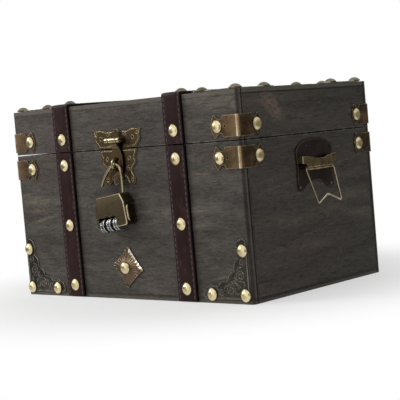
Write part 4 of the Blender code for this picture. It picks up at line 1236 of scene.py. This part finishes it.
# The leaf tip is a darker, rougher copy of the brass: painted shade.
second_finish(strip, leaf_brass, lambda face: face.center.z < hasp_z - leaf_top)
bm = bmesh.new()
sleeve(bm, BARREL_RADIUS, PIN_BORE, -knuckle, knuckle, barrel)
piece("hasp_tongue_knuckle", bm, wire_brass, "hasp_tongue")

# Padlock shackle
# Brass wire bow with an eye that turns on the pivot pin; it hangs open in the staple.
SHACKLE_RISE = 0.0263
bow = [
    (-0.665, -0.665), (-0.54, -0.436), (-0.371, -0.243), (-0.233, -0.109), (-0.109, -0.022), (0, 0),
    (0.105, -0.015), (0.196, -0.089), (0.244, -0.213), (0.268, -0.376), (0.274, -0.594), (0.27, -0.822),
    (0.27, -0.945),
]
bow = [(u * SHACKLE_RISE, v * SHACKLE_RISE) for u, v in bow]
crest = at(front, 0, crest_z, lock_out)
pivot = at(front, bow[-1][0], crest_z - SHACKLE_RISE, lock_out)
eye = SHACKLE_WIRE * 1.9
bm = bmesh.new()
tube(bm, [crest @ Vector((u, v, 0)) for u, v in eased(bow, 5)], SHACKLE_WIRE)
sleeve(bm, eye, PIN_BORE, -SHACKLE_WIRE * 0.85, SHACKLE_WIRE * 0.85, pivot)
piece("padlock_shackle_bow", bm, wire_brass, "padlock_shackle", "padlock_shackle")

# Padlock case
# Cast body in grey bronze with sloped shoulders, a window for the dials, slots for both ends of
# the shackle, a recess for the release push and an index notch over each dial.
LOCK_WIDTH = 0.0354
LOCK_HEIGHT = 0.027
LOCK_THICK = 0.012
LOCK_TILT = radians(8)
LOCK_WALL = 0.0023
DIALS = 3
DIAL_RADIUS = 0.0062
DIAL_WIDTH = 0.0044
DIAL_PITCH = 0.0079
PUSH_LENGTH = 0.0138
PUSH_WIDTH = 0.0082
PUSH_TRAVEL = 0.0008
PUSH_DEPTH = PUSH_TRAVEL * 2.3 + METAL_SEAT

lock_shift = LOCK_THICK / 2 - LOCK_BACK
lock = at(pivot, 0, 0, lock_shift) @ Matrix.Rotation(LOCK_TILT, 4, "Z")
lock_right, lock_up, lock_front = lock.to_3x3().transposed()
case_right = LOCK_WIDTH * 0.17
case_left = case_right - LOCK_WIDTH
case_top = LOCK_HEIGHT * 0.11
case_foot = case_top - LOCK_HEIGHT
shoulder = case_top - LOCK_HEIGHT * 0.3
slope = LOCK_WIDTH * 0.095
toe = LOCK_HEIGHT * 0.055
window_left = case_left + LOCK_WALL
first_dial = window_left + METAL_SEAT * 1.5 + DIAL_WIDTH / 2
dial_places = [first_dial + index * DIAL_PITCH for index in range(DIALS)]
window_right = dial_places[-1] + DIAL_WIDTH / 2 + METAL_SEAT * 1.5
dial_v = case_foot + DIAL_RADIUS * 0.45
window_top = dial_v + DIAL_RADIUS + METAL_SEAT * 2
push_place = at(lock, case_right, case_foot + toe * 1.9 + PUSH_LENGTH / 2, 0) @ along_u

grey_bronze = aged_metal(
    "grey_bronze", (0.150, 0.122, 0.072), (0.080, 0.054, 0.032), (0.62, 0.54, 0.37), 0.8, 0.8
)
highlight_bronze = aged_metal("highlight_bronze", (0.72, 0.62, 0.42), (0.34, 0.26, 0.15), (0.92, 0.84, 0.64), 0.5, 0.5)


def push_outline(grow):
    """Round-cornered outline of the release push, along u = thickness and v = height."""
    u = PUSH_WIDTH / 2 + grow
    v = PUSH_LENGTH / 2 + grow
    radius = PUSH_WIDTH * 0.3 + grow
    return rounded([(u, v, radius), (-u, v, radius), (-u, -v, radius), (u, -v, radius)], 6)


def highlit_faces(obj, look, way, *sides):
    """Second finish on the faces that are eased between the way that a piece faces and some sides."""

    def eased_edge(face):
        beside = max(face.normal.dot(side) for side in sides)
        return 0.15 < face.normal.dot(way) < 0.97 and beside > 0.2

    second_finish(obj, look, eased_edge)


def settled(obj, *tools):
    """Mesh of an object with its modifiers applied; the object and its tools are then removed."""
    graph = bpy.context.evaluated_depsgraph_get()
    bm = bmesh.new()
    bm.from_mesh(obj.evaluated_get(graph).to_mesh())
    for spent in (obj, *tools):
        bpy.data.batch_remove((spent, spent.data))
    return bm


def carve(bm, tools):
    """The mesh with every tool mesh cut out of it."""
    for tool in tools:
        shapes = []
        for source in (bm, tool):
            bmesh.ops.recalc_face_normals(source, faces=source.faces)
            shapes.append(linked("carving", mesh_of("carving", source)))
        boolean = shapes[0].modifiers.new("cut", "BOOLEAN")
        boolean.operation = "DIFFERENCE"
        boolean.solver = "EXACT"
        boolean.object = shapes[1]
        bm = settled(*shapes)
    return bm


outline = [
    (case_left + slope, case_top), (case_left, shoulder), (case_left, case_foot + toe),
    (case_left + toe, case_foot), (case_right - toe, case_foot), (case_right, case_foot + toe),
    (case_right, shoulder), (case_right - slope, case_top),
]
bm = stamped(outline, LOCK_THICK)
bmesh.ops.bevel(bm, geom=bm.edges[:], offset=LOCK_THICK * 0.085, segments=4, profile=0.5, affect="EDGES")
bm.transform(Matrix.Translation((0, 0, -LOCK_THICK / 2)))
deep = LOCK_THICK
play = METAL_SEAT * 1.5
rear = -lock_shift - SHACKLE_WIRE - play
fore = -lock_shift + SHACKLE_WIRE + play
free_end = (Vector(bow[0]) - Vector((bow[-1][0], -SHACKLE_RISE))).length
recess = stamped(push_outline(METAL_SEAT * 3), deep)
recess.transform(at(lock.inverted() @ push_place, 0, 0, -PUSH_DEPTH))
toe_left = -free_end - SHACKLE_WIRE * 1.6
toe_right = -free_end + SHACKLE_WIRE * 5
tools = [
    block((window_left, case_foot - deep, -deep), (window_right, window_top, deep)),
    block((-eye - METAL_SEAT * 3, -eye - METAL_SEAT * 2, rear), (eye + METAL_SEAT * 2, deep, fore)),
    block((toe_left, -SHACKLE_WIRE * 2, rear), (toe_right, deep, fore)),
    recess,
]
notch = DIAL_WIDTH * 0.16
for u in dial_places:
    low = (u - notch, window_top - notch, LOCK_THICK / 2 - notch)
    high = (u + notch, window_top + notch * 2.5, deep)
    tools.append(block(low, high))
bm = carve(bm, tools)
bm.transform(lock)
case = piece(
    "padlock_case_body", bm, grey_bronze, "padlock_case", "padlock_case",
    bevel=SHEET_BEVEL, sharp=30,
)
# Painted highlight on the right and lower eased edges of the case.
highlit_faces(case, highlight_bronze, lock_front, lock_right, -lock_up)
pin_half = LOCK_THICK / 2 - METAL_SEAT
pin("padlock_pivot_pin", lock, pin_half, antique_brass, "padlock_case", "padlock_shackle_pin")

# Release push
# Brown-bronze button let into the right end of the case, with a painted highlight on its front edge.
push_bronze = aged_metal(
    "push_bronze", (0.115, 0.068, 0.030), (0.045, 0.024, 0.013), (0.86, 0.78, 0.55), 0.7, 0.4
)
bm = stamped(push_outline(0), PUSH_DEPTH)
rim = [edge for edge in bm.edges if min(vert.co.z for vert in edge.verts) > PUSH_TRAVEL]
bmesh.ops.bevel(bm, geom=rim, offset=PUSH_WIDTH * 0.12, segments=3, profile=0.5, affect="EDGES")
bm.transform(at(push_place, 0, 0, -PUSH_TRAVEL * 1.3))
push = piece("padlock_release_push", bm, push_bronze, "release", "padlock_release", sharp=30)
# Painted highlight on the push's front edge.
highlit_faces(push, highlight_bronze, lock_right, lock_front)

# Number dials
# Three nickel wheels with ten flats and black figures, on a blackened spindle whose two washers
# show as black bands between them.
DIGITS = 10
FLAT_HALF = 13
FIGURE_SIZE = 0.0046
FIGURE_WEIGHT = 0.0002
FIGURE_RISE = 0.00003
FIGURE_RELIEF = 0.00002
DIAL_INSET = 0.0001
DIAL_BEVEL = 0.0002
WASHER_EDGE = 0.0002

nickel = aged_metal(
    "dial_nickel", (0.62, 0.62, 0.61), (0.28, 0.28, 0.27), (0.90, 0.90, 0.89), 0.6, 0.6, FINE_RELIEF
)
spindle_black = aged_metal(
    "spindle_black", (0.016, 0.014, 0.013), (0.008, 0.007, 0.007), (0.10, 0.09, 0.08), 0.6, 0.6
)
figure_black, shader = material("figure_black", specular=0.3)
flake = clouds(coordinates(shader), 2600.0, 3.0)
tone = steps_of(flake, (0.35, (0.007, 0.007, 0.008)), (0.7, (0.020, 0.019, 0.019)))
wire_up(shader, tone, spread(flake, 0.3, 0.7, 0.4, 0.62), flake, FIGURE_RELIEF)

spindle_radius = DIAL_RADIUS * 0.2
spindle = at(lock, 0, dial_v, 0) @ along_u
journal = LOCK_WALL * 0.6
collar = DIAL_RADIUS * 0.82
profile = [(spindle_radius, window_left - journal)]
for place in dial_places[:-1]:
    start = place + DIAL_WIDTH / 2 + METAL_SEAT
    end = start + DIAL_PITCH - DIAL_WIDTH - 2 * METAL_SEAT
    profile += [(spindle_radius, start), (collar - WASHER_EDGE, start), (collar, start + WASHER_EDGE)]
    profile += [(collar, end - WASHER_EDGE), (collar - WASHER_EDGE, end), (spindle_radius, end)]
profile += [(spindle_radius, window_right + journal)]
bm = bmesh.new()
spun(bm, profile, 32, spindle)
piece("padlock_spindle_and_washers", bm, spindle_black, "padlock_case", "padlock_spindle")

wheel = DIAL_RADIUS - DIAL_INSET
reach = wheel * cos(radians(FLAT_HALF)) + FIGURE_RISE
upright = Matrix(((0, 0, 1, 0), (0, 1, 0, 0), (-1, 0, 0, 0), (0, 0, 0, 1)))
turns = [radians(360 / DIGITS * digit) for digit in range(DIGITS)]
flats = []
for turn in turns:
    for angle, share in ((-FLAT_HALF, 1), (FLAT_HALF, 1), (18, 0.93)):
        flats.append((wheel * share * cos(turn + radians(angle)), wheel * share * sin(turn + radians(angle))))
for index, place in enumerate(dial_places):
    axis = at(spindle, 0, 0, place)
    bm = stamped(flats, DIAL_WIDTH, [circle(0, 0, spindle_radius + METAL_SEAT, 24)])
    bm.transform(at(axis, 0, 0, -DIAL_WIDTH / 2))
    body = f"dial_{index + 1}"
    node = f"padlock_{body}"
    piece(f"{node}_wheel", bm, nickel, body, node, bevel=DIAL_BEVEL, sharp=25)
    bm = bmesh.new()
    for digit, turn in enumerate(turns):
        text = bpy.data.curves.new("figure", "FONT")
        text.body = str((digit + 3 * index + 4) % DIGITS)
        text.size = FIGURE_SIZE
        text.offset = FIGURE_WEIGHT
        text.align_x = "CENTER"
        text.align_y = "CENTER"
        text.extrude = FIGURE_RISE
        stand = at(axis @ Matrix.Rotation(turn, 4, "Z"), reach, 0, 0)
        join(bm, settled(linked("figure", text)), stand @ upright)
    piece(f"{node}_figures", bm, figure_black, body, sharp=25)

# End handles
# Blackened back plate with curling feet, a bridge of antique brass bent up from it with a rolled
# barrel, and a brass wire bail that swings in the barrel. Two blued screws, two brass ones below.
HANDLE_Y = 0.003
HANDLE_DROP = 0.028
HANDLE_WIDTH = 0.0488
BRIDGE_BEND = 0.0006
SHIELD_MIDDLE = 0.0025
FINE_BEVEL = 0.00015
BAIL_REACH = 0.0054
BAIL_WIRE = 0.0009
BAIL_BARREL = 0.0018
BAIL_WIDTH = 0.0372
BAIL_DROP = 0.0297
BAIL_TILT = radians(15.5)
half_plate = HANDLE_WIDTH / 2
half_bail = BAIL_WIDTH / 2
barrel_half = half_bail - BAIL_WIRE * 2.6
band_edge = half_plate * 0.87
band_lift = BAIL_REACH + BAIL_BARREL - METAL
band_tab = band_edge + band_lift - plate_face - METAL_SEAT

plate_black = aged_metal(
    "plate_black", (0.090, 0.067, 0.057), (0.050, 0.036, 0.031), (0.17, 0.125, 0.09), 0.7, 0.8, COARSE_RELIEF
)
bail_brass = aged_metal(
    "bail_brass", (0.56, 0.47, 0.29), (0.22, 0.15, 0.075), (0.94, 0.88, 0.70), 0.7, 1.0, polish=0.18
)
band_brass = aged_metal(
    "band_brass", (0.37, 0.29, 0.15), (0.17, 0.105, 0.048), (0.94, 0.88, 0.70), 0.8, 1.0, polish=0.2
)
blued_steel = aged_metal(
    "blued_steel", (0.15, 0.15, 0.17), (0.06, 0.055, 0.055), (0.34, 0.34, 0.36), 0.6, 0.9
)
drawn_brass, shader = material("drawn_brass", metallic=0.8)
tone, roughness, height = aged_finish(
    coordinates(shader), (0.68, 0.59, 0.41), (0.28, 0.20, 0.105), (0.94, 0.88, 0.70), 0.6, 0.3, polish=0.2
)
# Painted shade on the wire where its surface turns away from facing straight out.
wire_shade = spread(abs(parts_of(coordinates(shader, "Normal"))[0]), 0.72, 0.42, 0.0, 0.94)
wire_up(shader, mixed(wire_shade, tone, (0.030, 0.021, 0.013)), roughness, height, FINE_RELIEF)

shield = [
    (0, 0.49), (0.41, 0.47), (0.74, 0.42), (0.95, 0.335), (1, 0.24), (0.97, 0.08), (0.99, -0.14),
    (1, -0.29), (0.92, -0.355), (0.73, -0.365), (0.58, -0.315), (0.4, -0.26), (0.2, -0.23), (0, -0.22),
]
shield = mirrored(eased([(half_plate * u, HANDLE_WIDTH * v) for u, v in shield], 5))
border = drawn_in(shield, 0.945, SHIELD_MIDDLE, 0.945)
upper_spots = both_sides(half_plate * 0.39, HANDLE_WIDTH * 0.37)
foot_spots = both_sides(half_plate * 0.85, -HANDLE_WIDTH * 0.3)
wing = [(0, 0.143), (half_plate * 0.24, 0.15), (half_plate * 0.46, 0.178), (half_plate * 0.7, 0.197)]
wing = eased([(u, HANDLE_WIDTH * v) for u, v in wing + [(band_edge, 0.2)]], 4)
tab = [(band_tab, 0.192), (band_tab, 0.088), (band_edge, 0.082), (half_plate * 0.74, 0.066)]
wing += [(u, HANDLE_WIDTH * v) for u, v in tab]
wing += [(barrel_half, BAIL_BARREL * 0.55), (0, BAIL_BARREL * 0.55)]
bail = [(-0.6, 0), (-1, 0), (-0.84, -1), (0, -0.76), (0.84, -1), (1, 0), (0.6, 0)]
bail = [(half_bail * u, BAIL_DROP * v, 0) for u, v in bail]
bail = bends(bail, BAIL_WIRE * 3.2, 7)

for side, face, sign in (("right", right, 1), ("left", left, -1)):
    base = at(face, sign * HANDLE_Y, seam - HANDLE_DROP)
    bm = stamped(shield, METAL, screw_holes(upper_spots + foot_spots))
    bead(bm, border, BORDER_WIDTH, METAL, BEAD_RISE, closed=True)
    bm.transform(at(base, 0, 0, METAL_SEAT))
    node = f"handle_plate_{side}"
    piece(f"{node}_stamping", bm, plate_black, "chest", node, bevel=FINE_BEVEL)
    name = f"handle_{side}_upper_screws"
    screws(name, base, upper_spots, METAL_SEAT, blued_steel, "chest")
    name = f"handle_{side}_foot_screws"
    screws(name, base, foot_spots, METAL_SEAT * 1.5, bail_brass, "chest")

    bm = stamped(mirrored(wing), METAL)
    fold_lines(bm, [s * (band_edge + BRIDGE_BEND * k / 2) for s in (-1, 1) for k in range(-2, 3)])
    bend_out = BRIDGE_BEND * 4 / pi
    for vert in bm.verts:
        u, v, w = vert.co
        past = (abs(u) - band_edge + BRIDGE_BEND) / (2 * BRIDGE_BEND)
        turn = radians(90) * min(max(past, 0), 1)
        out = band_edge - BRIDGE_BEND + (bend_out + w) * sin(turn) + min(past, 0) * 2 * BRIDGE_BEND
        lift = band_lift - bend_out + (bend_out + w) * cos(turn) - max(past - 1, 0) * 2 * BRIDGE_BEND
        vert.co = (out * (1 if u > 0 else -1), v, lift)
    bm.transform(base)
    axis = at(base, 0, 0, BAIL_REACH)
    sleeve(bm, BAIL_BARREL, BAIL_WIRE + METAL_SEAT, -barrel_half, barrel_half, axis @ along_u)
    node = f"handle_bracket_{side}"
    piece(f"handle_bridge_{side}", bm, band_brass, "chest", node, bevel=FINE_BEVEL)

    swing = axis @ Matrix.Rotation(-BAIL_TILT, 4, "X")
    path = [swing @ point for point in bail]
    wire(f"handle_wire_{side}", path, BAIL_WIRE * 0.95, drawn_brass, f"bail_{side}", f"handle_bail_{side}")

# Back hinges
# Two plain brass butt hinges on the back, each a pair of leaves rolled round a pin and held by
# four screws.
HINGE_X = -(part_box("hinge_pin_left")[0].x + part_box("hinge_pin_left")[1].x) / 2
HINGE_WIDTH = 0.025
HINGE_LEAF = 0.014
HINGE_RADIUS = 0.0022
HINGE_CORNER = 0.0012
middle = HINGE_WIDTH * 0.2
half = HINGE_WIDTH / 2
near = METAL_SEAT * 1.5
clear = HINGE_RADIUS + METAL_SEAT * 2
inner = middle + METAL_SEAT
cut = HINGE_CORNER * 0.3
tail = [(0, HINGE_LEAF), (half - HINGE_CORNER, HINGE_LEAF), (half - cut, HINGE_LEAF - cut)]
tail += [(half, HINGE_LEAF - HINGE_CORNER)]
lid_leaf = tail + [(half, near), (inner, near), (inner, clear), (0, clear)]
body_leaf = [(0, -near), (middle, -near), (middle, -clear), (half, -clear)]
body_leaf += [(u, -v) for u, v in reversed(tail)]
leaves = [
    ("body", "chest", body_leaf, -1, [(-middle, middle)]),
    ("lid", "lid", lid_leaf, 1, [(-half, -inner), (inner, half)]),
]
for side, x in (("left", HINGE_X), ("right", -HINGE_X)):
    base = at(back, x, seam)
    rod = at(base, 0, 0, plate_face + HINGE_RADIUS - METAL / 2) @ along_u
    for part, body, leaf, sign, spans in leaves:
        spots = both_sides(half * 0.62, sign * HINGE_LEAF * 0.6)
        bm = stamped(mirrored(leaf), METAL, screw_holes(spots))
        bm.transform(at(base, 0, 0, METAL_SEAT))
        for low, high in spans:
            sleeve(bm, HINGE_RADIUS, PIN_BORE, low, high, rod)
        name = f"hinge_{part}_leaf_{side}"
        piece(f"{name}_plate", bm, antique_brass, body, name, bevel=FINE_BEVEL)
        screws(f"{name}_screws", base, spots, METAL_SEAT * 1.5, bail_brass, body)
    pin(f"hinge_pin_{side}_rod", rod, half - METAL_SEAT, antique_brass, "chest", f"hinge_pin_{side}")

# Studio
# A pale floor that fades to white, a soft lamp and a narrow one at the front left, even light all
# round, two grey screens for the metal to mirror, and the camera at the photograph's angle.
FLOOR_RADIUS = 3.0
FADE_START = 0.14
FADE_END = 0.30
WALL_STEPS = 24
WALL_FOOT = 0.002
CAMERA_PLACE = (0.7223, -0.7765, 0.1403)
CAMERA_SIDE = radians(42.61)
CAMERA_RISE = radians(3.59)
CAMERA_ROLL = radians(4.99)
CAMERA_LENS = 108.13
SENSOR_WIDTH = 36.0
NEAR_CLIP = 0.01


def seen_in(tree):
    """One for what the camera sees, straight, mirrored or through something."""
    path = put(tree, "ShaderNodeLightPath")
    return most(*(Shade(path, f"Is {kind} Ray") for kind in ("Camera", "Glossy", "Transmission")))


def painted(name, specular, **constants):
    """Plain material with constants on its shader's sockets."""
    paint, shader = material(name, specular=specular)
    for key, value in constants.items():
        shader.inputs[key.replace("_", " ")].default_value = value
    return paint, shader


bm = bmesh.new()
bmesh.ops.create_circle(bm, cap_ends=True, radius=FLOOR_RADIUS, segments=64)
floor = linked("studio_floor", mesh_of("studio_floor", bm))
floor_paint, shader = painted("studio_floor_paint", 0.2, Roughness=0.8, Base_Color=(0.92, 0.92, 0.92, 1))
spot = coordinates(shader)
away = Shade(put(spot.tree, "ShaderNodeVectorMath", {"operation": "LENGTH"}, i0=spot), "Value")
fade = spread(away, FADE_START, FADE_END, 0.5, 1.0) * seen_in(spot.tree)
white = Shade(put(spot.tree, "ShaderNodeEmission", Strength=1.0))
blend = put(spot.tree, "ShaderNodeMixShader", i0=fade, i1=Shade(shader), i2=white)
spot.tree.links.new(blend.outputs[0], spot.tree.nodes["Material Output"].inputs["Surface"])
floor.data.materials.append(floor_paint)

world = bpy.data.worlds.new("studio_light")
bpy.context.scene.world = world
world.use_nodes = True
ground = world.node_tree.nodes["Background"]
strength = spread(seen_in(world.node_tree), 0.0, 1.0, 0.5, 1.0)
world.node_tree.links.new(strength.socket, ground.inputs["Strength"])
ground.inputs["Color"].default_value = (1, 1, 1, 1)


def soft_lamp(name, place, target, width, height, power):
    lamp = bpy.data.lights.new(name, "AREA")
    lamp.shape = "RECTANGLE"
    lamp.size = width
    lamp.size_y = height
    lamp.energy = power
    obj = linked(name, lamp)
    obj.location = place
    obj.rotation_euler = (Vector(target) - Vector(place)).to_track_quat("-Z", "Y").to_euler()


soft_lamp("key_lamp", (-1.20, -0.90, 0.80), (0, 0, 0.08), 0.70, 0.70, 13.0)
soft_lamp("strip_lamp", (-0.16, -1.45, 0.40), (0, 0, 0.08), 0.16, 0.70, 1.8)


def grey_wall(name, start, end, near, far, high, glow):
    """Curved grey screen and ground before it, seen by reflections only; angles run from front to right."""
    bm = bmesh.new()
    rings = []
    for k in range(WALL_STEPS + 1):
        around = start + (end - start) * k / WALL_STEPS
        section = ((near, WALL_FOOT), (far, WALL_FOOT), (far, high))
        rings.append([(sin(around) * reach, -cos(around) * reach, z) for reach, z in section])
    skin(bm, rings, sheet=True)
    screen = linked(name, mesh_of(name, bm))
    paint, shader = painted(
        f"{name}_paint", 0.0, Base_Color=(0.03, 0.03, 0.03, 1), Roughness=0.9,
        Emission_Color=(1, 1, 1, 1), Emission_Strength=glow,
    )
    screen.data.materials.append(paint)
    screen.visible_camera = False
    screen.visible_diffuse = False
    screen.visible_shadow = False


grey_wall("grey_wall_left", radians(-125), radians(-2), 0.26, 1.5, 0.75, 0.24)
grey_wall("grey_wall_back", radians(40), radians(205), 0.28, 1.3, 0.69, 0.15)

camera = linked("camera", bpy.data.cameras.new("camera"))
camera.data.sensor_width = SENSOR_WIDTH
camera.data.lens = CAMERA_LENS
camera.data.clip_start = NEAR_CLIP
turns = ((CAMERA_SIDE, "Z"), (pi / 2 - CAMERA_RISE, "X"), (-CAMERA_ROLL, "Z"))
pose = Matrix.Translation(CAMERA_PLACE)
for turn, axis in turns:
    pose @= Matrix.Rotation(turn, 4, axis)
camera.matrix_world = pose
bpy.context.scene.camera = camera
bpy.context.scene.view_settings.view_transform = "Standard"
